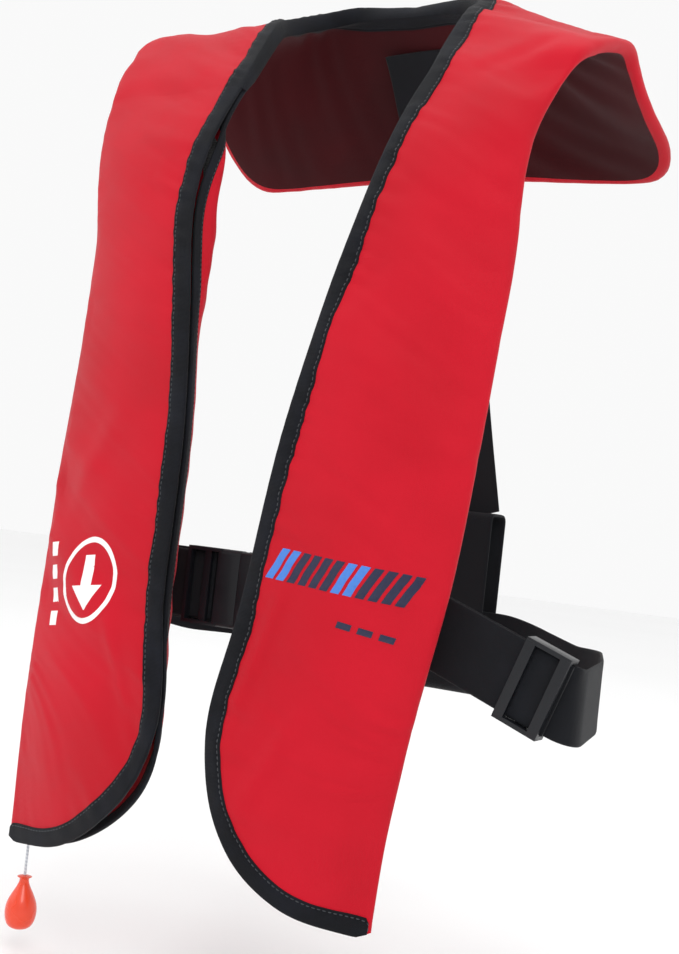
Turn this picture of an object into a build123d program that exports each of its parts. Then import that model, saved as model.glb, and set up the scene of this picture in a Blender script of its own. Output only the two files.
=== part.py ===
from build123d import *
from functools import cache
import os
import numpy as np

# Inflatable life jacket, laid out as if worn and closed.
# Millimetres.  +Z is up, the wearer faces -Y, +X is the wearer's left.
# The origin is on the wearer's shoulder line, in the middle of the neck opening.

# ---- overall sizes ---------------------------------------------------------
LOBE_DROP = 600.0          # shoulder line to the lowest edge of a front lobe
YOKE_HALF_WIDTH = 187.0    # middle to the outer shoulder corner
BELT_WIDTH = 45.0          # waist webbing
STRAP_WIDTH = 48.0         # back strap webbing
BELT_HEIGHT = -412.0       # middle of the waist belt at the buckle

# ---- fabric and gaps -------------------------------------------------------
SHEET = 1.2                # coated cover fabric
LINING = 1.0
WEB = 1.8                  # webbing thickness
BIND_WIDTH = 12.0          # bound edge as seen
BIND_PROUD = 0.6           # binding stands this far off the sheet it wraps
TAPE = 1.0                 # hook tape and loop tape, each
TAPE_WIDTH = 16.0
SOFT_GAP = 0.6             # between soft pieces that only lie on each other
RUN_GAP = 0.3              # between parts that slide on each other

# ---- front lobes -----------------------------------------------------------
LOBE_TOP = -66.0           # seam between yoke and lobe
FLAP_TOP = -72.0           # the front flap starts here
EDGE_THICK = 6.0           # both sheets together at the free edge
FRONT_CROWN = 9.0          # the front sheet bows out this much
REAR_CROWN = 24.0          # the rear sheet bows towards the chest this much
OUTER_BACK = 25.0          # the folded edge lies this far behind the free edge
TAPER_START = -540.0       # below this the lobe thins towards its bottom edge
TAPER_LEFT = 0.25          # share of the crown that is left at the bottom edge
FOLD_STRIP = 14.0          # fixed strip between the folded edge and the flap's hinge line
BLADDER_FRONT = 22.0       # the folded bladder starts this far behind the front sheet
BLADDER_LEAST = 4.0        # its least thickness
BLADDER_INSET = 16.0       # from the folded edge
BLADDER_NEAR = 38.0       # from the free edge

# The hang of the two lobes: (height, distance from the middle) down each edge.
INNER_EDGE = {
    1: [(0, 80), (-62, 89), (-138, 77), (-230, 60), (-309, 45), (-421, 31), (-505, 21)],
    -1: [(0, 68), (-62, 57), (-161, 58), (-230, 43), (-309, 32), (-421, 29), (-505, 20)],
}
BOTTOM_EDGE = {
    1: [(-547, 34), (-573, 52), (-592, 80), (-600, 132)],
    -1: [(-540, 32), (-566, 55), (-590, 92), (-600, 146)],
}
OUTER_EDGE = {
    1: [(-60, 182), (-100, 168), (-220, 165), (-380, 155), (-500, 138), (-600, 132)],
    -1: [(-60, 180), (-100, 175), (-220, 152), (-380, 150), (-500, 149), (-600, 146)],
}
# Depth of the front sheet at its free edge, down the chest.
CHEST_LINE = [(0, 5), (-50, -50), (-66, -60), (-100, -80), (-200, -108), (-300, -118), (-400, -122),
              (-500, -128), (-600, -130)]

# ---- yoke ------------------------------------------------------------------
YOKE_THICK = 10.0
YOKE_RIM = 14.0            # the collar bladder stays this far inside the rim
YOKE_FRONT = -62.0
YOKE_BACK = 150.0
YOKE_HEM = -80.0
# Cross-sections over the shoulder, front to back, at three distances from the middle.
YOKE_STATIONS = [30.0, 75.0, YOKE_HALF_WIDTH]
YOKE_PROFILES = [
    [(-66, -82), (-60, -66), (-38, -34), (-15, -6), (5, 6), (35, 20), (60, 26), (90, -3), (120, -40), (147, -80), (156, -94)],
    [(-66, -82), (-60, -66), (-40, -38), (-15, -10), (5, 0), (35, 13), (60, 20), (90, -6), (120, -42), (148, -80), (157, -94)],
    [(-64, -82), (-56, -66), (-34, -42), (-8, -24), (22, -18), (50, -22), (75, -32), (98, -45), (124, -60), (151, -80), (160, -94)],
]
NECK_LEFT = [(89, -62), (87, -30), (80, 5), (67, 38), (42, 56)]
NECK_BACK = (4, 62)
NECK_RIGHT = [(-36, 56), (-58, 38), (-68, 5), (-62, -30), (-57, -62)]

# ---- inflator --------------------------------------------------------------
INF_X = -97.0              # axis of the gas cylinder and inflator barrel
INF_Y = -100.5
INF_Z = -480.0             # datum height on the barrel, on a lobe of standard drop
GAS_RADIUS = 12.7
NECK_RADIUS = 4.8
BOSS_RADIUS = 11.0
CHAMBER_RADIUS = 9.2
CAP_RADIUS = 13.6
PIN_RADIUS = 1.5
POCKET_WIDTH = 78.0
THIN_BLADDER = 2.4         # bladder behind the gas cylinder
STEM_X = -75.0             # manifold stem through the inflator block
STEM_Y = -105.0
STEM_BLOCK = 16.0          # the block's depth along the stem
STEM_REAR = STEM_Y + STEM_BLOCK / 2
STEM_RADIUS = 5.0
FLANGE_RADIUS = 7.0
PIVOT_X = -114.0           # manual lever
PIVOT_RADIUS = 1.5
LEVER_THICK = 3.0
EYE_OUT = 15.0
EYE_UP = 12.0
LINE_RADIUS = 0.9          # pull line
LINE_X = -129.0
LINE_Y = -105.0
TOGGLE_RADIUS = 10.5
TOGGLE_LENGTH = 36.0

# ---- oral tube and whistle -------------------------------------------------
ORAL_X = 100.0
ORAL_Y = -105.0
VALVE_BORE = 4.0
WHISTLE_X = 76.0
WHISTLE_Y = -107.0

# ---- harness ---------------------------------------------------------------
WEB_Y = -73.0              # webbing that is sewn to the two buckle halves
MAIN_Y = WEB_Y + 3.6       # main belt, behind it
BELT_PLAN = [(-56, MAIN_Y), (-150, MAIN_Y), (-198, -25), (-190, 55), (-120, 105), (130, 105),
             (192, 78), (222, -5), (233, MAIN_Y), (56, MAIN_Y)]
BELT_RADII = [40, 55, 60, 60, 50, 60, 60, 14]
BELT_SPLIT = -30.0         # front and back runs hang differently either side of this
SAG_SLOPE = 0.36           # the left front run slopes down towards the slider
FRONT_SAG = [(-240, BELT_HEIGHT - 16), (-200, BELT_HEIGHT - 13), (-150, BELT_HEIGHT - 4), (-125, BELT_HEIGHT),
             (112, BELT_HEIGHT), (140, BELT_HEIGHT - 8), (250, BELT_HEIGHT - 8 - 110 * SAG_SLOPE)]
BACK_SAG = [(-240, BELT_HEIGHT - 16), (-200, BELT_HEIGHT - 13), (-150, BELT_HEIGHT - 24), (110, BELT_HEIGHT - 24),
            (170, BELT_HEIGHT - 38), (218, BELT_HEIGHT - 37), (250, BELT_HEIGHT - 47)]
SAG_ANGLE = float(np.degrees(np.arctan(SAG_SLOPE)))
SLIDER_X = 206.0
SLIDER_Z = BELT_HEIGHT - 8 - (SLIDER_X - 140) * SAG_SLOPE
STRAP_LOOP_X = 72.0
STRAP_LOOP_Y = 105.0
STRAP_LOOP_TOP = -342.0
STRAP_LOOP_BOTTOM = -474.0
STRAP_LOOP_DEPTH = 26.0
PLUG_X = -44.0             # outer end of the male half
PLUG_Y = WEB_Y - 2.0
BUCKLE_HEIGHT = BELT_WIDTH + 6.0
SOCKET_X = PLUG_X + 43.0
SOCKET_THICK = 12.5
PRONG_ROOT = PLUG_X + 41.8
PRONG_TIP = PLUG_X + 70.0

LOBE_STATIONS = [-60, -100, -150, -200, -300, -400, -500, TAPER_START, -600, -612]
ACROSS = [-0.25, 0.0, 0.2, 0.4, 0.6, 0.8, 1.0, 1.15]

parts = {}


def along(z, table):
    """Value of a (height, value) table at height z."""
    return float(np.interp(-z, [-h for h, _ in table], [v for _, v in table]))


def drop(z):
    """Scale a height below the seam with the overall drop."""
    return z * LOBE_DROP / 600.0


def crown_share(z):
    """Full crown down the lobe, thinning over the bottom stretch."""
    fade = np.clip((TAPER_START - z) / (TAPER_START + 600.0), 0, 1)
    return 1 - (1 - TAPER_LEFT) * fade


def arch(u):
    return 4 * u * (1 - u) if 0 < u < 1 else 0.0


def set_back(z):
    """The folded edge falls back less near the shoulder."""
    return OUTER_BACK * np.clip((-z - 30) / 150.0, 0.2, 1)


def front_face(u, z):
    return along(z, CHEST_LINE) + set_back(z) * u - FRONT_CROWN * crown_share(z) * arch(u)


def rear_face(u, z):
    shoulder = np.clip((-z - 40) / 120.0, 0.15, 1)
    return along(z, CHEST_LINE) + EDGE_THICK + set_back(z) * u + REAR_CROWN * shoulder * crown_share(z) * arch(u)


def lobe_x(side, u, z):
    inner = along(z, INNER_EDGE[side])
    outer = along(z, OUTER_EDGE[side])
    return side * (inner + (outer - inner) * u)


def across_at(side, x, z):
    """Share of the lobe's width at a distance x from the middle."""
    inner = along(z, INNER_EDGE[side])
    outer = along(z, OUTER_EDGE[side])
    return (abs(x) - inner) / (outer - inner)


def lobe_slab(side, front, rear):
    """Curved slab between two depth functions of (share across, height), wider than the lobe."""
    rings = []
    for z in LOBE_STATIONS:
        ahead = [(lobe_x(side, u, z), front(u, z)) for u in ACROSS]
        behind = [(lobe_x(side, u, z), rear(u, z)) for u in reversed(ACROSS)]
        ring = Polyline(*ahead, *behind, close=True)
        rings.append(Plane((0, 0, drop(z))) * make_face(ring))
    return loft(rings, ruled=True)


def step_aside(points, distance):
    """Points moved sideways from their own line, to the left of its direction."""
    moved = []
    for i, here in enumerate(points):
        before = points[max(i - 1, 0)]
        after = points[min(i + 1, len(points) - 1)]
        run = np.subtract(after, before)
        run = run / np.linalg.norm(run)
        moved.append((here[0] - run[1] * distance, here[1] + run[0] * distance))
    return moved


def free_edge(side):
    """(x, z) points of a lobe's free edge, from the seam down and round to the folded edge."""
    points = [(side * along(LOBE_TOP, INNER_EDGE[side]), LOBE_TOP + 6)]
    points += [(side * x, drop(z)) for z, x in INNER_EDGE[side][2:]]
    points += [(side * x, drop(z)) for z, x in BOTTOM_EDGE[side]]
    return points


def folded_edge(side, inset=0.0):
    """(x, z) points of a lobe's folded edge, from the bottom up."""
    points = [(side * (x - inset), drop(z)) for z, x in reversed(OUTER_EDGE[side])]
    points[-1] = (points[-1][0], LOBE_TOP + 6)
    return points


@cache
def lobe_plan(side, bound=0.0, fold=0.0, top=LOBE_TOP):
    """Front view of a lobe as a prism, inset from its free edge and from its folded edge."""
    inner = step_aside(free_edge(side), side * bound)
    outer = folded_edge(side, fold)
    if bound or fold:
        inner[-1] = (outer[0][0], inner[-1][1])
        outer[0] = inner[-1]
    edge = Spline(*inner)
    fold_line = Polyline(*outer)
    lid = Line(outer[-1], inner[0])
    face = Plane.XZ * make_face([edge, fold_line, lid])
    prism = extrude(face, 260, both=True)
    return prism & below(top)


def below(z):
    return Pos(0, 0, z - 400) * Box(900, 900, 800)


def hinge_x(side, z):
    """Straight hinge line between the fixed fold strip and the flap, in front view."""
    top, bottom = HINGE_ENDS[side]
    return top + (bottom - top) * (z - FLAP_TOP) / (drop(-600) - FLAP_TOP)


IZ = drop(INF_Z)
PIVOT_Z = IZ - 8.0
ORAL_Z = drop(-440)
TOGGLE_TOP = drop(-600) - 20.0
HINGE_ENDS = {1: (166.0 - FOLD_STRIP, 128.0 - FOLD_STRIP), -1: (-(152.0 - FOLD_STRIP), -(146.0 - FOLD_STRIP))}
HINGE_GAP = 0.8
FLAP_GAP = 1.2             # the flap's top edge is clear of the yoke by this much


@cache
def flap_window(side, gap):
    """Everything on the flap's side of the hinge line and below the flap's top edge."""
    low, high = drop(-640), FLAP_TOP
    corners = [(hinge_x(side, high) - side * gap, high), (hinge_x(side, low) - side * gap, low),
               (-side * 60, low), (-side * 60, high)]
    return extrude(Plane.XZ * make_face(Polyline(*corners, close=True)), 260, both=True)


# ---- cover of the lobes ----------------------------------------------------
def cover_shell(side):
    """Rear sheet, folded outer edge and the fixed front strip: one sheet, open at the free edge."""
    full = lobe_slab(side, front_face, rear_face) & lobe_plan(side)
    hollow = lobe_slab(side, lambda u, z: front_face(u, z) + SHEET, lambda u, z: rear_face(u, z) - SHEET)
    room = extrude(Plane.XZ * make_face(Polyline(
        *folded_edge(side, SHEET), (-side * 60, LOBE_TOP + 8), (-side * 60, drop(-640)),
        (folded_edge(side, SHEET)[0][0], drop(-640)), close=True)), 260, both=True)
    middle = lambda u, z: (front_face(u, z) + rear_face(u, z)) / 2
    flap_side = lobe_slab(side, lambda u, z: front_face(u, z) - 6, middle) & flap_window(side, 0)
    bound = lobe_plan(side) - lobe_plan(side, bound=BIND_WIDTH)
    return full - (hollow & room) - flap_side - bound


def binding(side, face, top):
    """Bound strip along a free edge, wrapped round the sheet at the given face."""
    low = lambda u, z: face(u, z) - BIND_PROUD
    high = lambda u, z: face(u, z) + SHEET + BIND_PROUD
    strip = lobe_plan(side, top=top) - lobe_plan(side, bound=BIND_WIDTH)
    return lobe_slab(side, low, high) & strip


def front_flap(side):
    sheet = lobe_slab(side, front_face, lambda u, z: front_face(u, z) + SHEET)
    return sheet & lobe_plan(side, bound=BIND_WIDTH, top=FLAP_TOP - FLAP_GAP) & flap_window(side, HINGE_GAP)


def closing_tape(side, depth):
    """Strip of hook or loop tape just inside the binding."""
    start = BIND_WIDTH + 1
    strip = lobe_plan(side, bound=start, top=FLAP_TOP - 20) - lobe_plan(side, bound=start + TAPE_WIDTH)
    tape = lobe_slab(side, depth, lambda u, z: depth(u, z) + TAPE)
    return tape & strip & flap_window(side, 20) & above(drop(-500))


def above(z):
    return Pos(0, 0, z + 400) * Box(900, 900, 800)


# ---- yoke ------------------------------------------------------------------
def yoke_profile(x):
    """(y, z) points over the shoulder at a distance x from the middle."""
    spots = [[float(np.interp(abs(x), YOKE_STATIONS, [p[k][axis] for p in YOKE_PROFILES])) for axis in (0, 1)]
             for k in range(len(YOKE_PROFILES[0]))]
    return [tuple(spot) for spot in spots]


def yoke_slab(outer_depth, inner_depth):
    """Slab over both shoulders between two depths below the outer face."""
    rings = []
    half = [YOKE_HALF_WIDTH + 12, YOKE_HALF_WIDTH, 75, 30]
    for x in [-h for h in half] + half[::-1]:
        outer = step_aside(yoke_profile(x), -outer_depth)
        inner = step_aside(yoke_profile(x), -inner_depth)
        ring = make_face(Polyline(*outer, *reversed(inner), close=True))
        rings.append(Plane(origin=(x, 0, 0), x_dir=(0, 1, 0), z_dir=(1, 0, 0)) * ring)
    return loft(rings, ruled=True)


def neck_hole(grown=0.0):
    """Vertical prism through the neck opening, open to the front."""
    line = NECK_LEFT + [NECK_BACK] + NECK_RIGHT
    line = step_aside(line, -grown)
    line = [(line[0][0], line[0][1] - 40)] + line + [(line[-1][0], line[-1][1] - 40)]
    face = make_face([Spline(*line), Line(line[-1], line[0])])
    return extrude(face, 300, both=True)


def yoke_plan(inset=0.0):
    """Plan of the yoke as a prism, trimmed level at the hem and at the seam with the lobes."""
    half = YOKE_HALF_WIDTH - inset
    corners = [(half - 6, YOKE_FRONT - 20), (half, 22), (half - 9, YOKE_BACK + 20)]
    outline = corners + [(-x, y) for x, y in reversed(corners)]
    prism = extrude(make_face(Polyline(*outline, close=True)), 300, both=True)
    prism = prism & above(YOKE_HEM + inset)
    return prism - Pos(0, -180, LOBE_TOP + SOFT_GAP - 200) * Box(900, 400, 400)


def cover_yoke():
    """Outer sheet with its turned-in rim, open underneath where the lining closes it."""
    full = yoke_slab(0, YOKE_THICK) & yoke_plan()
    hollow = yoke_slab(SHEET, YOKE_THICK + 4) & yoke_plan(SHEET)
    return full - hollow - neck_hole(BIND_WIDTH)


def yoke_lining():
    sheet = yoke_slab(YOKE_THICK - LINING, YOKE_THICK) & yoke_plan(SHEET + RUN_GAP)
    return sheet - neck_hole(BIND_WIDTH)


def neck_binding():
    band = yoke_slab(-BIND_PROUD, YOKE_THICK + BIND_PROUD) & yoke_plan()
    return band & (neck_hole(BIND_WIDTH) - neck_hole())


def bladder_collar():
    pad = yoke_slab(SHEET + SOFT_GAP, YOKE_THICK - LINING - SOFT_GAP) & yoke_plan(YOKE_RIM)
    return pad - neck_hole(BIND_WIDTH + YOKE_RIM) - Pos(0, -200, 0) * Box(900, 340, 900)


# ---- bladder in the lobes and what is fixed to it --------------------------
def bladder_rear(u, z):
    return rear_face(u, z) - SHEET - SOFT_GAP


def bladder_front(u, z):
    """Room for the hardware in front, but never thinner than the folded bladder itself."""
    return min(front_face(u, z) + BLADDER_FRONT, bladder_rear(u, z) - BLADDER_LEAST)


def bladder_lobe(side):
    """Folded bladder pad, kept well inside both edges of the lobe."""
    heights = [LOBE_TOP - 14, drop(-150), drop(-230), drop(-309), drop(-421), drop(-505), drop(-556)]
    scale = 600.0 / LOBE_DROP
    near = [(side * (along(z * scale, INNER_EDGE[side]) + BLADDER_NEAR), z) for z in heights]
    far = [(side * (along(z * scale, OUTER_EDGE[side]) - BLADDER_INSET), z) for z in reversed(heights)]
    trim = extrude(Plane.XZ * make_face(Polyline(*near, *far, close=True)), 260, both=True)
    return lobe_slab(side, bladder_front, bladder_rear) & trim


def front_patch(side, width, height, x, z, hole=0.0):
    """Rounded rectangle seen from the front, as a prism."""
    face = RectangleRounded(width, height, 6)
    if hole:
        face -= RectangleRounded(width - 2 * hole, height - 2 * hole, 3)
    return extrude(Plane.XZ * (Pos(side * x, z) * face), 260, both=True)


def inflator_pocket():
    """Room in the right bladder lobe: thin behind the cylinder, open behind the inflator."""
    thin = lobe_slab(-1, lambda u, z: front_face(u, z) - 8, lambda u, z: bladder_rear(u, z) - THIN_BLADDER)
    tall = front_patch(-1, POCKET_WIDTH, 214, -(INF_X + 6), IZ + 34)
    deep = front_patch(-1, POCKET_WIDTH - 26, 92, -(INF_X - 7), IZ - 25)
    return (thin & tall) + deep


def reflective_panel(side):
    sheet = lobe_slab(side, lambda u, z: bladder_front(u, z) - 1.3, lambda u, z: bladder_front(u, z) - 0.3)
    return sheet & front_patch(side, 46, 92, 118, drop(-170))


def lifting_becket():
    sheet = lobe_slab(1, lambda u, z: bladder_front(u, z) - 2.2, lambda u, z: bladder_front(u, z) - 0.4)
    return sheet & front_patch(1, 30, 84, 106, drop(-506), hole=9)


def whistle():
    """Flat pealess whistle with its air slot and a lanyard hole."""
    body = Box(16, 9, 46)
    body = fillet(body.edges().filter_by(Axis.Y), 5)
    body -= Pos(0, 0, 6) * Box(18, 3, 5)
    body -= Pos(0, 0, 16) * Rot(90, 0, 0) * Cylinder(2, 12)
    return Pos(WHISTLE_X, WHISTLE_Y, drop(-285)) * body


# ---- inflator in the right lobe --------------------------------------------
def upright(radius, low, high):
    """Cylinder on the inflator's own axis between two heights above its datum."""
    return Pos(INF_X, INF_Y, IZ + (low + high) / 2) * Cylinder(radius, high - low)


def gas_cylinder():
    shell = upright(GAS_RADIUS, 26, 126)
    shell = fillet(shell.edges().filter_by(GeomType.CIRCLE), GAS_RADIUS - 4)
    neck = upright(NECK_RADIUS, 14.2, 30)
    hollow = upright(GAS_RADIUS - 2, 28, 124)
    hollow = fillet(hollow.edges().filter_by(GeomType.CIRCLE), GAS_RADIUS - 6)
    return shell + neck - hollow


def inflator_body():
    barrel = upright(13.5, -28, 23)
    boss = upright(BOSS_RADIUS, -38, -27)
    block = Pos(STEM_X, STEM_Y, IZ) * Box(22, STEM_BLOCK, 24)
    block = fillet(block.edges().filter_by(Axis.Y), 3)
    ear = Pos(INF_X - 16, INF_Y, IZ - 8) * Box(12, 12, 16)
    body = barrel + boss + block + ear
    body -= upright(NECK_RADIUS + 0.1, 13, 24)
    body -= upright(PIN_RADIUS + 0.1, -20, 14)
    body -= upright(CHAMBER_RADIUS, -39, -19.5)
    body -= Pos(STEM_X, STEM_Y, IZ) * Rot(90, 0, 0) * Cylinder(STEM_RADIUS + 0.1, 40)
    body -= Pos(INF_X - 20, INF_Y, IZ - 8) * Box(14, LEVER_THICK + 0.8, 17)
    return body - Pos(PIVOT_X, INF_Y, PIVOT_Z) * Rot(90, 0, 0) * Cylinder(PIVOT_RADIUS + 0.05, 20)


def manual_lever():
    """Arm from its pivot to the eye that takes the pull line."""
    arm = Rectangle(np.hypot(EYE_OUT, EYE_UP), 5)
    arm = Rot(0, 0, 180 - np.degrees(np.arctan2(EYE_UP, EYE_OUT))) * arm
    face = Pos(-EYE_OUT / 2, EYE_UP / 2) * arm + Circle(3.6) + Pos(-EYE_OUT, EYE_UP) * Circle(4)
    face -= Circle(PIVOT_RADIUS + 0.05)
    face -= Pos(-EYE_OUT, EYE_UP) * Circle(1.8)
    plate = extrude(Plane.XZ * face, LEVER_THICK / 2, both=True)
    return Pos(PIVOT_X, INF_Y, PIVOT_Z) * plate


def lever_pin():
    return Pos(PIVOT_X, INF_Y, PIVOT_Z) * Rot(90, 0, 0) * Cylinder(PIVOT_RADIUS, 12)


def piercing_pin():
    return upright(PIN_RADIUS, -27, 6) + upright(4, -29, -26.9)


def return_spring():
    """Five turns round the piercing pin, between its head and the barrel."""
    wire = 0.35
    height = 6.0
    coil = Helix(pitch=height / 5, height=height, radius=3.0)
    turns = sweep(Plane(coil @ 0, z_dir=coil % 0) * Circle(wire), path=coil)
    return Pos(INF_X, INF_Y, IZ - 26.4) * turns


def manifold_stem():
    disc = Rot(90, 0, 0) * Cylinder(FLANGE_RADIUS, 1.8)
    stem = Rot(90, 0, 0) * Cylinder(STEM_RADIUS, STEM_BLOCK + 8)
    return Pos(STEM_X, STEM_REAR + 1.9, IZ) * disc + Pos(STEM_X, STEM_REAR + 1.9 - (STEM_BLOCK + 8) / 2, IZ) * stem


def stem_washer(y):
    ring = Cylinder(FLANGE_RADIUS, 0.9) - Cylinder(STEM_RADIUS + 0.1, 2)
    return Pos(STEM_X, y, IZ) * Rot(90, 0, 0) * ring


def cap_nut():
    """Closed nut that clamps the inflator on the manifold stem."""
    nut = extrude(RegularPolygon(8.5, 6), 6)
    nut -= Cylinder(STEM_RADIUS + 0.1, 12)
    return Pos(STEM_X, STEM_Y - STEM_BLOCK / 2 - 1.0, IZ) * Rot(90, 0, 0) * nut


def cartridge_cap():
    """Ribbed cup that screws over the boss and holds the dissolving cartridge."""
    cup = upright(CAP_RADIUS, -50, -29)
    cup -= upright(BOSS_RADIUS + 0.25, -47.5, -20)
    ribs = [Rot(0, 0, 30 * k) * Pos(CAP_RADIUS, 0, 0) * Cylinder(1.1, 16) for k in range(12)]
    return cup + [Pos(INF_X, INF_Y, IZ - 41) * rib for rib in ribs]


def cartridge():
    return upright(CHAMBER_RADIUS - 0.7, -46.5, -31) - upright(3, -47, -33)


def pull_toggle():
    """Pear-shaped grip with a bore for the pull line."""
    low, high = TOGGLE_TOP - TOGGLE_LENGTH, TOGGLE_TOP
    r = TOGGLE_RADIUS
    outline = Spline((0, low), (r * 0.75, low + 2.6), (r, low + 10.5), (r * 0.66, low + 24), (r * 0.4, high - 1.4),
                     (1.5, high), tangents=[(1, 0), (-1, 0.2)])
    half = make_face([outline, Line((1.5, high), (0, high)), Line((0, high), (0, low))])
    grip = revolve(Plane.XZ * half, Axis.Z)
    grip -= Pos(0, 0, high - 5) * Cylinder(LINE_RADIUS, 10.2)
    return Pos(LINE_X, LINE_Y, 0) * grip


LINE_ROUTE = [(-129.0, -103.0, -482.0), (-127.0, -104.5, -516.0), (-129.5, -105.6, -558.0),
              (-129.0, -105.0, -600.0), (-129.0, -105.0, -622.0)]


def pull_line():
    """Thin line from the lever's eye down through the bottom edge to the grip."""
    points = [Vector(*p) for p in LINE_ROUTE[:-1]]
    points.append(Vector(LINE_X, LINE_Y, TOGGLE_TOP - 0.1))
    radii = []
    for a, b, c in zip(points, points[1:], points[2:]):
        turn = np.radians((b - a).get_angle(c - b))
        radii.append(0.45 * min((b - a).length, (c - b).length) / np.tan(turn / 2))
    print("pull line arcs", [round(r) for r in radii])
    path = FilletPolyline(*points, radius=radii)
    tube = sweep(Plane(path @ 0, z_dir=path % 0) * Circle(LINE_RADIUS), path=path)
    print("pull line volume", tube.volume, "length times section", path.length * np.pi * LINE_RADIUS ** 2)
    return tube


# ---- oral inflation tube in the left lobe ----------------------------------
def tube_part(radius, low, high, bore=0.0):
    part = Cylinder(radius, high - low)
    if bore:
        part -= Cylinder(bore, high - low + 2)
    return Pos(ORAL_X, ORAL_Y, ORAL_Z + (low + high) / 2) * part


def oral_tube():
    """Tube with its elbow flange on the bladder and the valve seat at its mouth."""
    tube = tube_part(6.5, 0, 100) + tube_part(7.4, 92, 116)
    foot = Pos(ORAL_X, ORAL_Y + 2.6, ORAL_Z + 2) * Rot(90, 0, 0) * Cylinder(8, 5.2)
    foot += Pos(ORAL_X, ORAL_Y + 5.6, ORAL_Z + 2) * Rot(90, 0, 0) * Cylinder(11, 1.2)
    return tube + foot - tube_part(VALVE_BORE, 6, 120)


def valve_plunger():
    return tube_part(VALVE_BORE - 0.05, 104, 112) + tube_part(2, 111, 118.5)


def valve_spring():
    coil = Helix(pitch=2.0, height=10.0, radius=3.3)
    turns = sweep(Plane(coil @ 0, z_dir=coil % 0) * Circle(0.35), path=coil)
    stop = 93.4
    return Pos(ORAL_X, ORAL_Y, ORAL_Z + stop) * turns


def valve_seat():
    """Ring in the tube that the valve spring stands on."""
    return tube_part(VALVE_BORE, 91, 93, bore=2.5)


def dust_cap():
    return tube_part(8.4, 106, 122) - tube_part(7.6, 105, 120.5)


# ---- harness ---------------------------------------------------------------
def ribbon(points, thick, reach=600.0, plane=Plane.XY):
    """Upright band that follows a line of points."""
    face = make_face(Polyline(*step_aside(points, thick / 2), *reversed(step_aside(points, -thick / 2)), close=True))
    return extrude(plane * face, reach, both=True)


def front_band(points, width):
    """Prism along Y whose front view is a strip of one width along a line."""
    face = make_face(Polyline(*step_aside(points, width / 2), *reversed(step_aside(points, -width / 2)), close=True))
    return extrude(Plane.XZ * face, 400, both=True)


def back_strap():
    """Single webbing from the inside of the collar down to its loop round the belt."""
    depth = -(YOKE_THICK + SOFT_GAP + WEB / 2)
    lining = step_aside(yoke_profile(0), depth)[6:]
    start = np.add(lining[0], 0.75 * np.subtract(lining[1], lining[0]))
    side_view = [tuple(start), lining[1], lining[2], lining[3], (STRAP_LOOP_Y, STRAP_LOOP_TOP - 4)]
    drop_line = Plane(origin=(0, 0, 0), x_dir=(0, 1, 0), z_dir=(1, 0, 0))
    sheet = ribbon(side_view, WEB, 200, drop_line)
    front = [(0, 40), (0, YOKE_HEM + 20), (STRAP_LOOP_X, STRAP_LOOP_TOP - 20)]
    return sheet & front_band(front, STRAP_WIDTH) & above(STRAP_LOOP_TOP)


def strap_loop():
    """The strap's lower end turned back into a loop that the belt runs through."""
    high = STRAP_LOOP_TOP - STRAP_LOOP_BOTTOM
    ring = RectangleRounded(STRAP_LOOP_DEPTH, high, 8)
    ring -= RectangleRounded(STRAP_LOOP_DEPTH - 2 * WEB, high - 2 * WEB, 8 - WEB)
    plane = Plane(origin=(0, 0, 0), x_dir=(0, 1, 0), z_dir=(1, 0, 0))
    place = Pos(STRAP_LOOP_Y, (STRAP_LOOP_TOP + STRAP_LOOP_BOTTOM) / 2)
    return Pos(STRAP_LOOP_X, 0, 0) * extrude(plane * (place * ring), STRAP_WIDTH / 2, both=True)


def waist_belt():
    """Main webbing: behind the right lobe, round the back and behind the left lobe."""
    path = FilletPolyline(*BELT_PLAN, radius=BELT_RADII)
    band = extrude(trace(path, WEB), 220)
    band = Pos(0, 0, BELT_HEIGHT - 110) * band
    front = front_band(FRONT_SAG, BELT_WIDTH) & Pos(0, BELT_SPLIT - 200, 0) * Box(900, 400, 1800)
    back = front_band(BACK_SAG, BELT_WIDTH) & Pos(0, BELT_SPLIT + 200, 0) * Box(900, 400, 1800)
    return (band & front) + (band & back)


def straight_web(x_near, x_far, y, thick=WEB):
    low, high = sorted((x_near, x_far))
    strip = Pos((low + high) / 2, y, BELT_HEIGHT - 30) * Box(high - low, thick, 200)
    return strip & front_band(FRONT_SAG, BELT_WIDTH)


def belt_backing():
    """Fabric flap behind the buckle that keeps it off the wearer."""
    line = [(-80, MAIN_Y + 1.9), (SOCKET_X + 53, MAIN_Y + 1.9)]
    strip = Pos(0, 0, BELT_HEIGHT - 10) * Box(900, 900, BELT_WIDTH + 3)
    return ribbon(line, 1.2) & strip


def belt_loop(side):
    """Sewn keeper behind a lobe that the belt runs through."""
    front, rear = WEB_Y - 2.2, MAIN_Y + 2.4
    tall = BELT_WIDTH + 14
    ring = Box(22, rear - front + 2.4, tall + 2.4) - Box(30, rear - front, tall)
    return Pos(side * 108, (front + rear) / 2, BELT_HEIGHT - 3) * ring


def web_keeper():
    """Elastic band that gathers the spare webbing beside the plug."""
    front, rear = WEB_Y - 1.4, MAIN_Y + 1.4
    ring = Box(9, rear - front + 2.0, BELT_WIDTH + 4) - Box(12, rear - front, BELT_WIDTH + 2)
    return Pos(-88, (front + rear) / 2, BELT_HEIGHT) * ring


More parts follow.
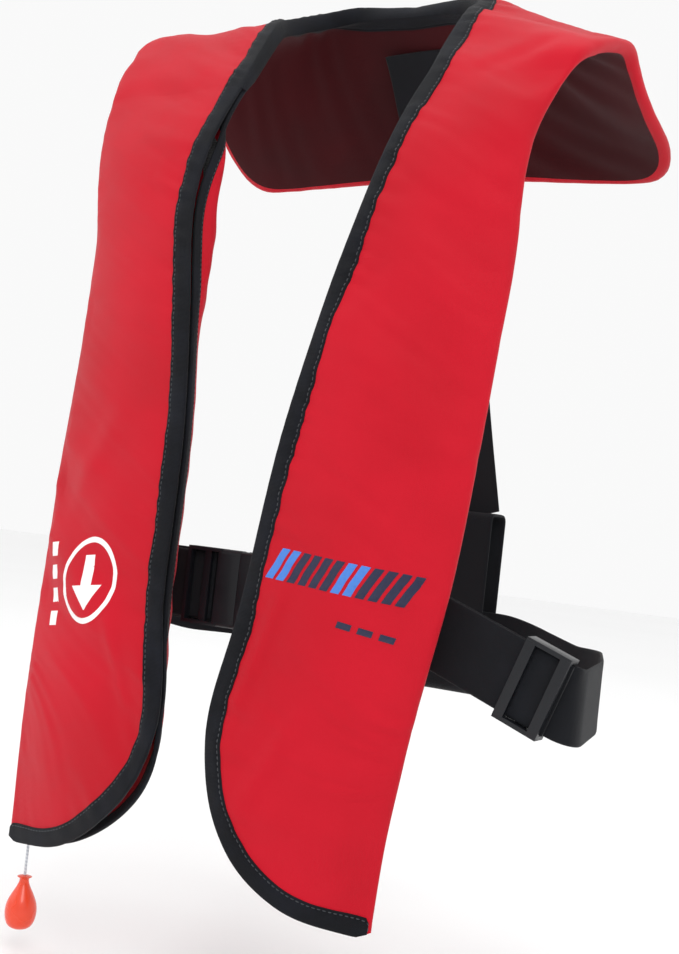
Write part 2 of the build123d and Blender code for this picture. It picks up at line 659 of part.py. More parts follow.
def buckle_plug():
    """Male half: ladder bars for the webbing, a cover plate and a middle guide."""
    frame = Box(27, 8.6, BUCKLE_HEIGHT) - Box(22, 10, BELT_WIDTH + 1.2)
    frame = Pos(PLUG_X + 13.5, PLUG_Y, BELT_HEIGHT) * frame
    frame -= Pos(PLUG_X, WEB_Y, BELT_HEIGHT) * Box(12, WEB + 2 * RUN_GAP, BELT_WIDTH + 1.2)
    middle_bar = Pos(PLUG_X + 15, WEB_Y - 3.0, BELT_HEIGHT) * Box(5, 2.8, BELT_WIDTH + 2)
    plate = Pos(PLUG_X + 34, PLUG_Y, BELT_HEIGHT) * Box(15, 8.6, BUCKLE_HEIGHT)
    plate = fillet(plate.edges().filter_by(Axis.X), 3)
    guide = Pos(PLUG_X + 52, PLUG_Y, BELT_HEIGHT) * Box(24, 5, 9)
    return frame + middle_bar + plate + guide


def buckle_prong(up):
    """Side prong with its catch, one piece of the male half that flexes inwards."""
    root, tip = PRONG_ROOT, PRONG_TIP
    face = Polyline((root, 13), (tip - 6, 14.5), (tip, 17), (tip - 2, 22), (tip - 9, BUCKLE_HEIGHT / 2),
                    (tip - 10.5, 20.5), (root + 7, 19), (root, 19), close=True)
    prong = extrude(Plane.XZ * make_face(face), 3.2, both=True)
    if not up:
        prong = mirror(prong, Plane.XY)
    return Pos(0, PLUG_Y, BELT_HEIGHT) * prong


def buckle_socket():
    """Female half: hollow body open at the mouth and at the catches, bar for the webbing."""
    mouth, end = SOCKET_X, SOCKET_X + 48
    body = Pos((mouth + end) / 2, PLUG_Y, BELT_HEIGHT) * Box(end - mouth, SOCKET_THICK, BUCKLE_HEIGHT)
    body = fillet(body.edges().filter_by(Axis.X), 3.5)
    body -= Pos(mouth + 15, PLUG_Y, BELT_HEIGHT) * Box(36, 8.0, BUCKLE_HEIGHT - 7)
    body -= Pos(mouth + 11, PLUG_Y, BELT_HEIGHT) * Box(28, 7.4, BUCKLE_HEIGHT + 6)
    body -= Pos(end - 8, PLUG_Y, BELT_HEIGHT) * Box(8, 20, BELT_WIDTH + 1.2)
    lift = Pos(end - 2, WEB_Y, BELT_HEIGHT) * Box(6, WEB + 2 * RUN_GAP, BELT_WIDTH + 1.2)
    return body - lift


def belt_slider():
    """Three-bar slider: outer bars over the webbing, middle bar under it."""
    rails = Box(30, 12.5, BELT_WIDTH + 7) - Box(40, 14, BELT_WIDTH + 1.4)
    front_y = WEB_Y - WEB / 2 - RUN_GAP - 1.9
    rear_y = MAIN_Y + WEB / 2 + RUN_GAP + 1.4
    middle = (front_y + rear_y) / 2
    bars = [Pos(x, front_y - middle, 0) * Box(6.5, 3.8, BELT_WIDTH + 4) for x in (-11.75, 11.75)]
    under = Pos(0, rear_y - middle, 0) * Box(7, 2.8, BELT_WIDTH + 4)
    frame = rails + bars + under
    return Pos(SLIDER_X, middle, SLIDER_Z) * Rot(0, SAG_ANGLE, 0) * frame


FLAP_SIDES = ((1, "left"), (-1, "right"))

# ---- all the pieces --------------------------------------------------------
for side, name in FLAP_SIDES:
    parts[f"cover_rear_{name}"] = cover_shell(side)
    parts[f"rear_binding_{name}"] = binding(side, lambda u, z: rear_face(u, z) - SHEET, LOBE_TOP)
    parts[f"front_flap_{name}"] = front_flap(side)
    parts[f"flap_binding_{name}"] = binding(side, front_face, FLAP_TOP - FLAP_GAP) & flap_window(side, HINGE_GAP)
    parts[f"hook_tape_{name}"] = closing_tape(side, lambda u, z: front_face(u, z) + SHEET + 0.05)
    parts[f"loop_tape_{name}"] = closing_tape(side, lambda u, z: rear_face(u, z) - SHEET - TAPE - 0.05)
    parts[f"reflective_panel_{name}"] = reflective_panel(side)
    parts[f"belt_loop_{name}"] = belt_loop(side)
parts["bladder_left"] = bladder_lobe(1)
parts["bladder_right"] = bladder_lobe(-1) - inflator_pocket()
parts["bladder_collar"] = bladder_collar()
parts["cover_yoke"] = cover_yoke()
parts["yoke_lining"] = yoke_lining()
parts["neck_binding"] = neck_binding()
parts["lifting_becket"] = lifting_becket()
parts["whistle"] = whistle()
parts["gas_cylinder"] = gas_cylinder()
parts["inflator_body"] = inflator_body()
parts["manual_lever"] = manual_lever()
parts["lever_pin"] = lever_pin()
parts["piercing_pin"] = piercing_pin()
parts["return_spring"] = return_spring()
parts["manifold_stem"] = manifold_stem()
parts["stem_washer_rear"] = stem_washer(STEM_REAR + 0.5)
parts["stem_washer_front"] = stem_washer(STEM_Y - STEM_BLOCK / 2 - 0.5)
parts["cap_nut"] = cap_nut()
parts["cartridge_cap"] = cartridge_cap()
parts["cartridge"] = cartridge()
parts["pull_line"] = pull_line()
parts["pull_toggle"] = pull_toggle()
parts["oral_tube"] = oral_tube()
parts["valve_seat"] = valve_seat()
parts["valve_spring"] = valve_spring()
parts["valve_plunger"] = valve_plunger()
parts["dust_cap"] = dust_cap()
parts["back_strap"] = back_strap()
parts["strap_loop"] = strap_loop()
parts["waist_belt"] = waist_belt()
parts["plug_webbing"] = straight_web(PLUG_X + 20, -118, WEB_Y)
parts["socket_webbing"] = straight_web(SOCKET_X + 41, 226, WEB_Y)
parts["belt_backing"] = belt_backing()
parts["web_keeper"] = web_keeper()
parts["buckle_plug"] = buckle_plug()
parts["buckle_prong_upper"] = buckle_prong(True)
parts["buckle_prong_lower"] = buckle_prong(False)
parts["buckle_socket"] = buckle_socket()
parts["belt_slider"] = belt_slider()

os.makedirs("parts", exist_ok=True)
for name, shape in parts.items():
    solids = shape.solids()
    export_step(solids[0] if len(solids) == 1 else Compound(solids), f"parts/{name}.step")
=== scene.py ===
import math
import bpy
import numpy as np
from mathutils import Matrix, Vector


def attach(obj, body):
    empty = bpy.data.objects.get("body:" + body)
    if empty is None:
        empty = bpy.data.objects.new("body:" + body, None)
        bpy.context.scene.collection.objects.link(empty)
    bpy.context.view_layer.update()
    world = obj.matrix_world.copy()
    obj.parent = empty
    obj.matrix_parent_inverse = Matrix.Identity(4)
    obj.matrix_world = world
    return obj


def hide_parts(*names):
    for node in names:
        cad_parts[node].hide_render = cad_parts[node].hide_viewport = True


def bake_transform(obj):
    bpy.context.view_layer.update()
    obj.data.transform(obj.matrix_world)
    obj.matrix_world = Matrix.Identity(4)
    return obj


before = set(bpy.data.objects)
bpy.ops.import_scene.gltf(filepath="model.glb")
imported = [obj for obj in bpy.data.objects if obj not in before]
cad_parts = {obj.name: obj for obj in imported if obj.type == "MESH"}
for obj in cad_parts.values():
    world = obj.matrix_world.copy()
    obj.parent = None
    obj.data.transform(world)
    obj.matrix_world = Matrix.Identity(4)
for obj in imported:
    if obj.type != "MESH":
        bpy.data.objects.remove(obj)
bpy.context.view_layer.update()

# ---- studio ----------------------------------------------------------------
# The jacket hangs as if worn, over a pale floor, lit by large soft lights.
# The camera looks from the wearer's left front, level with the chest.
STUDIO_FLOOR_Z = -0.675
EYE_PLACE = Vector((0.508, -0.847, -0.362))
LOOK_AHEAD = Vector((-0.4997, 0.8655, 0.0332)).normalized()
LOOK_TILT = math.radians(6.4)
LENS_MM = 53.36

look_right = LOOK_AHEAD.cross(Vector((0, 0, 1))).normalized()
look_up = look_right.cross(LOOK_AHEAD)
picture_right = look_right * math.cos(LOOK_TILT) + look_up * math.sin(LOOK_TILT)
picture_up = look_up * math.cos(LOOK_TILT) - look_right * math.sin(LOOK_TILT)
camera_data = bpy.data.cameras.new("chest_camera")
camera_data.lens = LENS_MM
camera_data.sensor_width = 36
camera_data.sensor_fit = "AUTO"
camera = bpy.data.objects.new("chest_camera", camera_data)
bpy.context.scene.collection.objects.link(camera)
turned = Matrix((picture_right, picture_up, -LOOK_AHEAD)).transposed()
camera.matrix_world = Matrix.Translation(EYE_PLACE) @ turned.to_4x4()
bpy.context.scene.camera = camera


class Wire:
    """One socket of a material, with ordinary operators for its maths."""

    def __init__(self, tree, socket):
        self.tree, self.socket = tree, socket

    def node(self, kind, *inputs, out=0, **settings):
        made = self.tree.nodes.new(kind)
        for name, value in settings.items():
            setattr(made, name, value)
        for name, value in inputs:
            if isinstance(value, Wire):
                self.tree.links.new(value.socket, made.inputs[name])
            elif value is not None:
                made.inputs[name].default_value = value
        return Wire(self.tree, made.outputs[out])

    def maths(self, operation, *values):
        return self.node("ShaderNodeMath", *enumerate(values), operation=operation)

    def __add__(self, other): return self.maths("ADD", self, other)
    def __sub__(self, other): return self.maths("SUBTRACT", self, other)
    def __rsub__(self, other): return self.maths("SUBTRACT", other, self)
    def __mul__(self, other): return self.maths("MULTIPLY", self, other)
    def __abs__(self): return self.maths("ABSOLUTE", self)
    __radd__, __rmul__ = __add__, __mul__

    def sine(self): return self.maths("SINE", self)

    def step(self, low, high, to_low=0.0, to_high=1.0):
        """Smooth change from one value to another between low and high."""
        return self.node("ShaderNodeMapRange", ("Value", self), ("From Min", low), ("From Max", high),
                         ("To Min", to_low), ("To Max", to_high), interpolation_type="SMOOTHSTEP")

    def part(self, name):
        return self.node("ShaderNodeSeparateXYZ", ("Vector", self), out=name)

    def noise(self, scale, detail=2.0, rough=0.5):
        return self.node("ShaderNodeTexNoise", ("Vector", self), ("Scale", scale), ("Detail", detail),
                         ("Roughness", rough), noise_dimensions="3D")

    def tint(self, low, high):
        """Colour between two, with this value as the share of the second."""
        return self.node("ShaderNodeMix", (0, self), (6, rgba(low)), (7, rgba(high)), out=2, data_type="RGBA")


def rgba(colour):
    return colour if isinstance(colour, Wire) or len(colour) == 4 else (*colour, 1)


def srgb(red, green, blue):
    """Linear colour of an 8-bit display colour."""
    return tuple(((c / 255 + 0.055) / 1.055) ** 2.4 if c > 10 else c / 255 / 12.92
                 for c in (red, green, blue))


def new_finish(name, **fixed):
    """Material with its shader, and the place on the piece to draw patterns from."""
    finish = bpy.data.materials.new(name)
    finish.use_nodes = True
    shader = finish.node_tree.nodes["Principled BSDF"]
    for socket, value in fixed.items():
        shader.inputs[socket.replace("_", " ")].default_value = value
    place = Wire(finish.node_tree, finish.node_tree.nodes.new("ShaderNodeTexCoord").outputs["Object"])
    return finish, shader, place


def join_finish(shader, relief=None, relief_depth=0.0005, **varying):
    """Link what varies over a surface, with its relief through one bump node."""
    tree = shader.id_data
    for socket, wire in varying.items():
        tree.links.new(wire.socket, shader.inputs[socket.replace("_", " ")])
    if relief is not None:
        bump = relief.node("ShaderNodeBump", ("Height", relief), ("Distance", relief_depth),
                           ("Strength", 1.0))
        tree.links.new(bump.socket, shader.inputs["Normal"])


floor_finish, floor_shader, floor_place = new_finish("studio_floor", Roughness=0.85)
join_finish(floor_shader, Base_Color=floor_place.noise(1.5).tint((0.93, 0.93, 0.93), (0.96, 0.96, 0.96)))
bpy.ops.object.select_all(action="DESELECT")
bpy.ops.mesh.primitive_plane_add(size=14, location=(0, 0, STUDIO_FLOOR_Z))
floor = bpy.context.object
floor.name = "studio_floor"
bpy.ops.object.transform_apply(location=True)
floor.data.materials.append(floor_finish)

world = bpy.data.worlds.new("soft_studio")
bpy.context.scene.world = world
world.use_nodes = True
world.node_tree.nodes["Background"].inputs["Color"].default_value = (1, 1, 1, 1)
world.node_tree.nodes["Background"].inputs["Strength"].default_value = 0.95
LIGHTS_AIM = Vector((0.02, 0, -0.3))
for name, place, size, power in (("key_light", (1.5, -1.9, 1.5), 1.2, 22),
                                 ("fill_light", (-1.9, -1.3, 0.7), 1.6, 7),
                                 ("top_light", (0.1, -0.2, 2.2), 1.5, 14)):
    light_data = bpy.data.lights.new(name, "AREA")
    light_data.energy = power
    light_data.size = size
    light = bpy.data.objects.new(name, light_data)
    bpy.context.scene.collection.objects.link(light)
    light.location = place
    light.rotation_euler = (LIGHTS_AIM - Vector(place)).to_track_quat("-Z", "Y").to_euler()
bpy.context.scene.view_settings.view_transform = "Standard"

# ---- pull line -------------------------------------------------------------
# Thin translucent nylon line from the inflator's lever, out through the bottom
# edge of the right lobe, knotted inside the grip that it carries.
LINE_ROUTE = [(-0.129, -0.103, -0.482), (-0.127, -0.1045, -0.516), (-0.1295, -0.1056, -0.558),
              (-0.129, -0.105, -0.6), (-0.129, -0.105, -0.6201)]
LINE_THICK, LINE_LONG = 0.0018, 0.138

line_curve = bpy.data.curves.new("nylon_pull_line", "CURVE")
line_curve.dimensions = "3D"
line_spline = line_curve.splines.new("NURBS")
line_spline.points.add(len(LINE_ROUTE) - 1)
for spot, place in zip(line_spline.points, LINE_ROUTE):
    spot.co = (*place, 1)
line_spline.order_u = 3
line_spline.use_endpoint_u = True
line_curve.resolution_u = 16
line_curve.bevel_depth = LINE_THICK / 2
line_curve.bevel_resolution = 4
line_curve.use_fill_caps = True
nylon_line = bpy.data.objects.new("nylon_pull_line", line_curve)
bpy.context.scene.collection.objects.link(nylon_line)
nylon, nylon_shader, nylon_place = new_finish("pale_nylon", Roughness=0.35, Transmission_Weight=0.35, IOR=1.5)
twist = (nylon_place.part("Z") * 2600 + nylon_place.part("X") * 900).sine() * 0.5 + 0.5
join_finish(nylon_shader, relief=twist, relief_depth=0.0001,
            Base_Color=twist.tint(srgb(190, 196, 204), srgb(225, 228, 232)))
nylon_line.data.materials.append(nylon)
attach(nylon_line, "toggle")
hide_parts("pull_line")

# ---- cover: how the cloth runs ---------------------------------------------
# Coated polyester cloth.  Each lobe is one sheet folded round its outer edge, and the
# front of both lobes runs on unbroken over the shoulders to the hem behind the neck.
# Tables are (height, distance from the middle or depth), in metres.
INNER_EDGE = {
    1: [(0, .080), (-.062, .089), (-.138, .077), (-.230, .060), (-.309, .045), (-.421, .031), (-.505, .021)],
    -1: [(0, .068), (-.062, .057), (-.161, .058), (-.230, .043), (-.309, .032), (-.421, .029), (-.505, .020)],
}
BOTTOM_EDGE = {1: [(-.547, .034), (-.573, .052), (-.592, .080), (-.600, .132)],
               -1: [(-.540, .032), (-.566, .055), (-.590, .092), (-.600, .146)]}
OUTER_EDGE = {1: [(-.060, .182), (-.100, .168), (-.220, .165), (-.380, .155), (-.500, .138), (-.600, .132)],
              -1: [(-.060, .174), (-.100, .168), (-.220, .149), (-.380, .150), (-.500, .149), (-.600, .146)]}
CHEST_LINE = [(0, .005), (-.050, -.050), (-.066, -.060), (-.100, -.080), (-.200, -.108), (-.300, -.118),
              (-.400, -.122), (-.500, -.128), (-.600, -.130)]
HINGE_X = {1: (.152, .114), -1: (-.138, -.132)}
LOBE_TOP, FLAP_TOP, LOBE_LOW = -.066, -.072, -.600
LEVEL_END = -.470
EDGE_THICK, YOKE_THICK, CLOTH_THICK = .006, .010, .0011
FRONT_BOW, BACK_BOW, SET_BACK = .009, .024, .025
# The yoke's depth and height from front to back at the middle, half way out, and at the
# left and right rims; the left shoulder is drawn down more than the right one.
YOKE_X = {0: (-.030, .030), 1: (-.075, .075), 2: (.187,), 3: (-.187,)}
YOKE_PROFILES = [
    [(-.066, -.082), (-.060, -.066), (-.038, -.034), (-.015, -.006), (.005, .006), (.035, .020), (.060, .026),
     (.090, -.003), (.120, -.040), (.147, -.080), (.156, -.094)],
    [(-.066, -.082), (-.060, -.066), (-.040, -.038), (-.015, -.010), (.005, .000), (.035, .013), (.060, .020),
     (.090, -.006), (.120, -.042), (.148, -.080), (.157, -.094)],
    [(-.065, -.082), (-.062, -.065), (-.044, -.051), (-.016, -.038), (.010, -.030), (.031, -.026),
     (.056, -.042), (.086, -.055), (.118, -.063), (.149, -.080), (.160, -.094)],
    [(-.064, -.082), (-.057, -.065), (-.038, -.040), (-.016, -.013), (.010, -.004), (.042, -.009),
     (.072, -.028), (.098, -.044), (.124, -.060), (.151, -.080), (.160, -.094)],
]
NECK_LINE = {1: [(.087, -.030), (.080, .005), (.067, .038), (.042, .056), (.004, .062)],
             -1: [(-.062, -.030), (-.068, .005), (-.058, .038), (-.036, .056), (.004, .062)]}
MIDDLE_X = .004
RIM_X, RIM_BACK_X = {1: .186, -1: .180}, .187
ROW_STEP = .0030


def smooth_line(points, count):
    """Evenly spaced points on a smooth line through the given ones."""
    spots = np.array(points, float)
    gaps = np.linalg.norm(np.diff(spots, axis=0), axis=1)
    at = np.r_[0, np.cumsum(gaps)]
    slope = np.gradient(spots, at, axis=0)
    fine = np.linspace(0, at[-1], 30 * len(spots))
    k = np.clip(np.searchsorted(at, fine, side="right") - 1, 0, len(spots) - 2)
    h, t = gaps[k][:, None], ((fine - at[k]) / gaps[k])[:, None]
    line = ((2 * t**3 - 3 * t**2 + 1) * spots[k] + (t**3 - 2 * t**2 + t) * h * slope[k]
            + (3 * t**2 - 2 * t**3) * spots[k + 1] + (t**3 - t**2) * h * slope[k + 1])
    return even_line(line, count)


def even_line(line, count):
    run = np.r_[0, np.cumsum(np.linalg.norm(np.diff(line, axis=0), axis=1))]
    even = np.linspace(0, run[-1], count)
    return np.stack([np.interp(even, run, line[:, k]) for k in range(line.shape[1])], 1)


def soft_step(value, low, high):
    t = np.clip((value - low) / (high - low), 0, 1)
    return t * t * (3 - 2 * t)


def along(z, table):
    return np.interp(-np.asarray(z, float), [-h for h, _ in table], [v for _, v in table])


def smooth_table(table):
    return [tuple(p) for p in smooth_line(table, 160)]


INNER_SMOOTH = {side: smooth_table(t) for side, t in INNER_EDGE.items()}
OUTER_SMOOTH = {side: smooth_table(t) for side, t in OUTER_EDGE.items()}
CHEST_SMOOTH = smooth_table(CHEST_LINE)


def share_across(side, x, z):
    inner, outer = along(z, INNER_SMOOTH[side]), along(z, OUTER_SMOOTH[side])
    return np.clip((np.abs(x) - inner) / (outer - inner), 0, 1)


def lobe_depth(side, x, z, rear=False):
    """Depth of the front or rear cloth of a lobe, bowed by the folded bladder inside."""
    u = share_across(side, x, z)
    bow = np.clip(4 * u * (1 - u), 0, 1) ** 0.85
    taper = 1 - .75 * np.clip((-.540 - z) / .060, 0, 1)
    set_back = SET_BACK * np.clip((-z - .030) / .150, .2, 1)
    depth = along(z, CHEST_SMOOTH) + set_back * u
    if rear:
        edge = EDGE_THICK * (1 - .45 * soft_step(-z, .50, .56))
        return depth + edge + BACK_BOW * soft_step(-z, .066, .18) * taper * bow
    return depth - FRONT_BOW * soft_step(-z, .058, .125) * taper * bow


def yoke_place(x, s):
    """Point on the outer cloth of the yoke; s counts the stations from front to back."""
    profiles = [smooth_line([(k, *p) for k, p in enumerate(profile)], 400) for profile in YOKE_PROFILES]
    y = np.array([np.interp(s, p[:, 0], p[:, 1]) for p in profiles])
    z = np.array([np.interp(s, p[:, 0], p[:, 2]) for p in profiles])
    stops = sorted((place, k) for k, places in YOKE_X.items() for place in places)
    weight = np.array([np.interp(x, [place for place, _ in stops], [float(k == own) for _, k in stops])
                       for own in YOKE_X])
    return np.stack([np.asarray(x, float), (y * weight).sum(0), (z * weight).sum(0)], -1)


def yoke_station(x, y):
    ask = np.linspace(0, 10, 400)
    return float(np.interp(y, yoke_place(np.full(400, x), ask)[:, 1], ask))


def lobe_rows(side):
    """Free-edge and folded-edge points (x, z), in pairs from the bottom tip up to the shoulder."""
    free = [(side * float(along(LOBE_TOP, INNER_SMOOTH[side])), LOBE_TOP)]
    free += [(side * x, z) for z, x in INNER_EDGE[side][2:] + BOTTOM_EDGE[side]]
    free = smooth_line(free, 900)
    turn = int(np.argmax(free[:, 1] < LEVEL_END))
    level = free[:turn][::-1]
    level = even_line(level, int((LOBE_TOP - LEVEL_END) / ROW_STEP))
    low = even_line(free[turn:-8][::-1], int(.25 / ROW_STEP))
    rise = np.linspace(0, 1, len(low)) ** .6
    heights = np.r_[LOBE_LOW + .003 + (LEVEL_END - ROW_STEP - LOBE_LOW - .003) * rise, level[:, 1]]
    folded = np.stack([side * along(heights, OUTER_SMOOTH[side]), heights], 1)
    return np.vstack([low, level]), folded


COLUMNS_FLAP, COLUMNS_STRIP = 44, 7
MIDDLE_SHARES = np.r_[np.linspace(0, .8, COLUMNS_FLAP + 1), np.linspace(.8, 1, COLUMNS_STRIP + 1)[1:]]


def cover_grid(side):
    """Outer cloth of one half as rows of points, and how many of the rows belong to the lobe."""
    free, folded = lobe_rows(side)
    top, low = HINGE_X[side]
    slope = (top - low) / (FLAP_TOP - LOBE_LOW)
    run = folded - free
    hinge = (low + slope * (free[:, 1] - LOBE_LOW) - free[:, 0]) / (run[:, 0] - slope * run[:, 1])
    hinge = np.clip(hinge, .06, .94)
    across = np.hstack([hinge[:, None] * np.linspace(0, 1, COLUMNS_FLAP + 1),
                        hinge[:, None] + (1 - hinge[:, None]) * np.linspace(0, 1, COLUMNS_STRIP + 1)[1:]])
    x = free[:, :1] + run[:, :1] * across
    z = free[:, 1:] + run[:, 1:] * across
    lobe = np.stack([x, lobe_depth(side, x, z), z], -1)
    neck = [(side * abs(free[-1, 0]), 1.0)] + [(px, yoke_station(px, py)) for px, py in NECK_LINE[side]]
    rim = [(folded[-1, 0], 1.0), (side * RIM_X[side], 2.6)]
    rim += [(side * RIM_BACK_X, station) for station in (4.3, 6.5, 8.4)]
    hem = [(side * .177, 9.1), (side * .09, 8.95), (MIDDLE_X, 8.85)]
    scale = np.array([1, .030])
    neck_rows = smooth_line(np.array(neck) * scale, 68)[1:] / scale
    side_rows = smooth_line(np.array(rim) * scale, 38)[1:]
    hem_rows = even_line(np.vstack([side_rows[-1:], np.array(hem) * scale]), 31)[1:]
    rim_rows = np.vstack([side_rows, hem_rows]) / scale
    shares = across[-1] + (MIDDLE_SHARES - across[-1]) * np.linspace(0, 1, len(neck_rows))[:, None]
    spot = neck_rows[:, None] + (rim_rows - neck_rows)[:, None] * shares[..., None]
    yoke = yoke_place(spot[..., 0].ravel(), spot[..., 1].ravel()).reshape(*spot.shape[:2], 3)
    skin = np.concatenate([lobe, yoke])
    tip, middle = skin[0].copy(), skin[-1].copy()
    for _ in range(6):
        skin[1:-1] = (skin[:-2] + 2 * skin[1:-1] + skin[2:]) / 4
    skin[0], skin[-1] = tip, middle
    return skin, len(lobe)


def outward(grid):
    """Directions off the outer face of a grid whose rows run up the left lobe and down the right one."""
    n = np.cross(np.gradient(grid, axis=1), np.gradient(grid, axis=0))
    return n / np.maximum(np.linalg.norm(n, axis=2, keepdims=True), 1e-9)


def ripples(across, down, seed, long_way, short_way, waves=14):
    """Irregular soft waves, from sums of slanted ones; the sizes are wavelengths."""
    draw = np.random.default_rng(seed)
    total, full_turn = np.zeros_like(across), 6.283
    for _ in range(waves):
        turn, phase, pitch = draw.uniform(-.5, .5), draw.uniform(0, full_turn), draw.uniform(.7, 1.6)
        total += np.cos(full_turn * pitch * (across / long_way + down / short_way * (1 + turn)
                                             + turn * across / short_way) + phase)
    return total / math.sqrt(waves)


left_skin, left_count = cover_grid(1)
right_skin, right_count = cover_grid(-1)
skin = np.concatenate([left_skin, right_skin[::-1][1:]])
ROWS, COLUMNS = skin.shape[:2]
seam_rows = {1: left_count, -1: ROWS - 1 - right_count}
across_run = np.cumsum(np.r_["1", np.zeros((ROWS, 1)), np.linalg.norm(np.diff(skin, axis=1), axis=2)], axis=1)
down_run = np.r_[0, np.cumsum(np.linalg.norm(np.diff(skin[:, COLUMNS // 2], axis=0), axis=1))]
down_grid = np.repeat(down_run[:, None], COLUMNS, 1)

# The bladder inside pushes soft swells into the cloth, and the sewn edges gather it
# into short puckers that die out a few centimetres from the binding.
SWELL_HIGH, EDGE_PUCKER, FOLD_PUCKER, FINE_HIGH = .0016, .0010, .0008, .00028
from_edge = np.minimum(across_run, .2)
from_fold = across_run[:, -1:] - across_run
swell = SWELL_HIGH * ripples(across_run, down_grid, 3, .16, .11)
pucker = EDGE_PUCKER * np.exp(-from_edge / .016) * ripples(across_run, down_grid, 5, .09, .017)
pucker += FOLD_PUCKER * np.exp(-from_fold / .012) * ripples(across_run, down_grid, 8, .08, .021)
from_tip = np.minimum(down_grid, down_run[-1] - down_grid)
calm = soft_step(from_tip, .0, .16)
swell *= .35 + .65 * calm
pucker *= .3 + .7 * calm
fine = FINE_HIGH * calm * ripples(across_run, down_grid, 13, .05, .022)
inside = np.clip(from_edge / .012, 0, 1) * np.clip(from_fold / .010, 0, 1)


def crease(place, end, wide, deep):
    """A soft fold line between two points of the cloth, fading towards its ends."""
    start, stop = np.array(place, float), np.array(end, float)
    run = stop - start
    t = ((skin - start) @ run) / (run @ run)
    off = np.linalg.norm(skin - (start + np.clip(t, 0, 1)[..., None] * run), axis=2)
    fade = np.clip(4 * t * (1 - t), 0, 1) ** .6
    return deep * fade * (np.exp(-(off / wide) ** 2) - .55 * np.exp(-(off / (2.1 * wide)) ** 2))


CREASES = [
    ((.030, -.125, -.50), (.062, -.124, -.40), .006, .0030),
    ((.045, -.128, -.545), (.085, -.128, -.47), .007, .0028),
    ((.066, -.110, -.235), (.098, -.104, -.200), .008, -.0020),
    ((.088, -.078, -.110), (.128, -.086, -.150), .007, .0022),
    ((.120, -.060, -.070), (.170, -.045, -.045), .008, -.0026),
    ((.100, -.100, -.160), (.160, -.095, -.260), .012, .0022),
    ((-.035, -.125, -.52), (-.070, -.124, -.43), .006, .0028),
    ((-.060, -.100, -.165), (-.095, -.095, -.140), .007, .0022),
    ((-.100, -.066, -.080), (-.165, -.050, -.060), .010, -.0026),
    ((-.080, -.116, -.300), (-.130, -.110, -.380), .012, .0020),
]
# The gas cylinder and the oral tube push the cloth out a little where they lie.
HARDWARE_SWELLS = [((-.097, -.430), (.032, .085), .0034), ((.100, -.385), (.028, .080), .0034)]
for (x, z), (wide, tall), high in HARDWARE_SWELLS:
    swell += high * np.exp(-((skin[..., 0] - x) / wide) ** 2 - ((skin[..., 2] - z) / tall) ** 2)
relief = swell * inside + (pucker + fine) * np.clip(from_edge / .008, 0, 1) * np.clip(from_fold / .006, 0, 1)
for line in CREASES:
    relief += crease(*line) * inside
skin_normals = outward(skin)
flat_skin = skin.copy()
skin = skin + relief[..., None] * skin_normals
skin_normals = outward(skin)


def link_mesh(name, points, faces, finish, uv=None):
    mesh = bpy.data.meshes.new(name)
    mesh.from_pydata([tuple(p) for p in points], [], faces)
    if uv is not None:
        layer = mesh.uv_layers.new(name="cloth")
        corners = np.zeros(len(mesh.loops), int)
        mesh.loops.foreach_get("vertex_index", corners)
        layer.data.foreach_set("uv", np.asarray(uv, np.float32)[corners].ravel())
    mesh.update()
    piece = bpy.data.objects.new(name, mesh)
    bpy.context.scene.collection.objects.link(piece)
    if finish:
        mesh.materials.append(finish)
    return piece


def smooth_piece(piece, degrees=40):
    bpy.ops.object.select_all(action="DESELECT")
    piece.select_set(True)
    bpy.context.view_layer.objects.active = piece
    bpy.ops.object.shade_smooth_by_angle(angle=math.radians(degrees))
    return piece


def cloth_piece(name, grid, normals, uv, finish, thick=CLOTH_THICK, inside=None):
    """Closed sheet between a grid of outer points and a thickness further in, or a grid for its inside."""
    rows, columns = grid.shape[:2]
    outer = grid.reshape(-1, 3)
    inner = (grid - normals * thick if inside is None else inside).reshape(-1, 3)
    count = len(outer)
    k = np.arange(count).reshape(rows, columns)
    quads = np.stack([k[:-1, :-1], k[:-1, 1:], k[1:, 1:], k[1:, :-1]], -1).reshape(-1, 4)
    rim = np.r_[k[0, :], k[1:, -1], k[-1, -2::-1], k[-2:0:-1, 0]]
    after = np.roll(rim, -1)
    edge = np.stack([rim, rim + count, after + count, after], -1)
    faces = np.vstack([quads, quads[:, ::-1] + count, edge])
    piece = link_mesh(name, np.vstack([outer, inner]), faces.tolist(), finish,
                      np.vstack([uv.reshape(-1, 2)] * 2))
    return smooth_piece(piece)


def sheet_area(grid):
    """Area of one side of the cloth."""
    a, b = grid[1:, 1:] - grid[:-1, :-1], grid[1:, :-1] - grid[:-1, 1:]
    return float(np.linalg.norm(np.cross(a, b), axis=2).sum() / 2)


FULL_TURN = 6.2832


def weave_place(finish):
    """Place on the flat cloth, across and along it, to draw a weave from."""
    run = Wire(finish.node_tree, finish.node_tree.nodes.new("ShaderNodeUVMap").outputs[0])
    run.socket.node.uv_map = "cloth"
    return run


def woven_finish(name, dark, light, pitch, sheen, rough, depth=.00012):
    """Plain-woven cloth: fine crossing threads, slow changes of shade and a soft bloom at grazing angles."""
    finish, shader, place = new_finish(name, Sheen_Weight=sheen, Sheen_Roughness=.45, Specular_IOR_Level=.12)
    run = weave_place(finish)
    turns = FULL_TURN / pitch
    threads = (run.part("X") * turns).sine() * (run.part("Y") * turns).sine()
    slow = place.noise(7.0, 3.0, .55)
    grain = place.noise(900.0, 2.0, .6)
    shade = slow.step(.3, .7) * .75 + grain * .25
    join_finish(shader, relief=threads * .6 + grain * .8, relief_depth=depth,
                Base_Color=shade.tint(dark, light), Roughness=slow.step(.25, .75, rough - .05, rough + .07))
    return finish


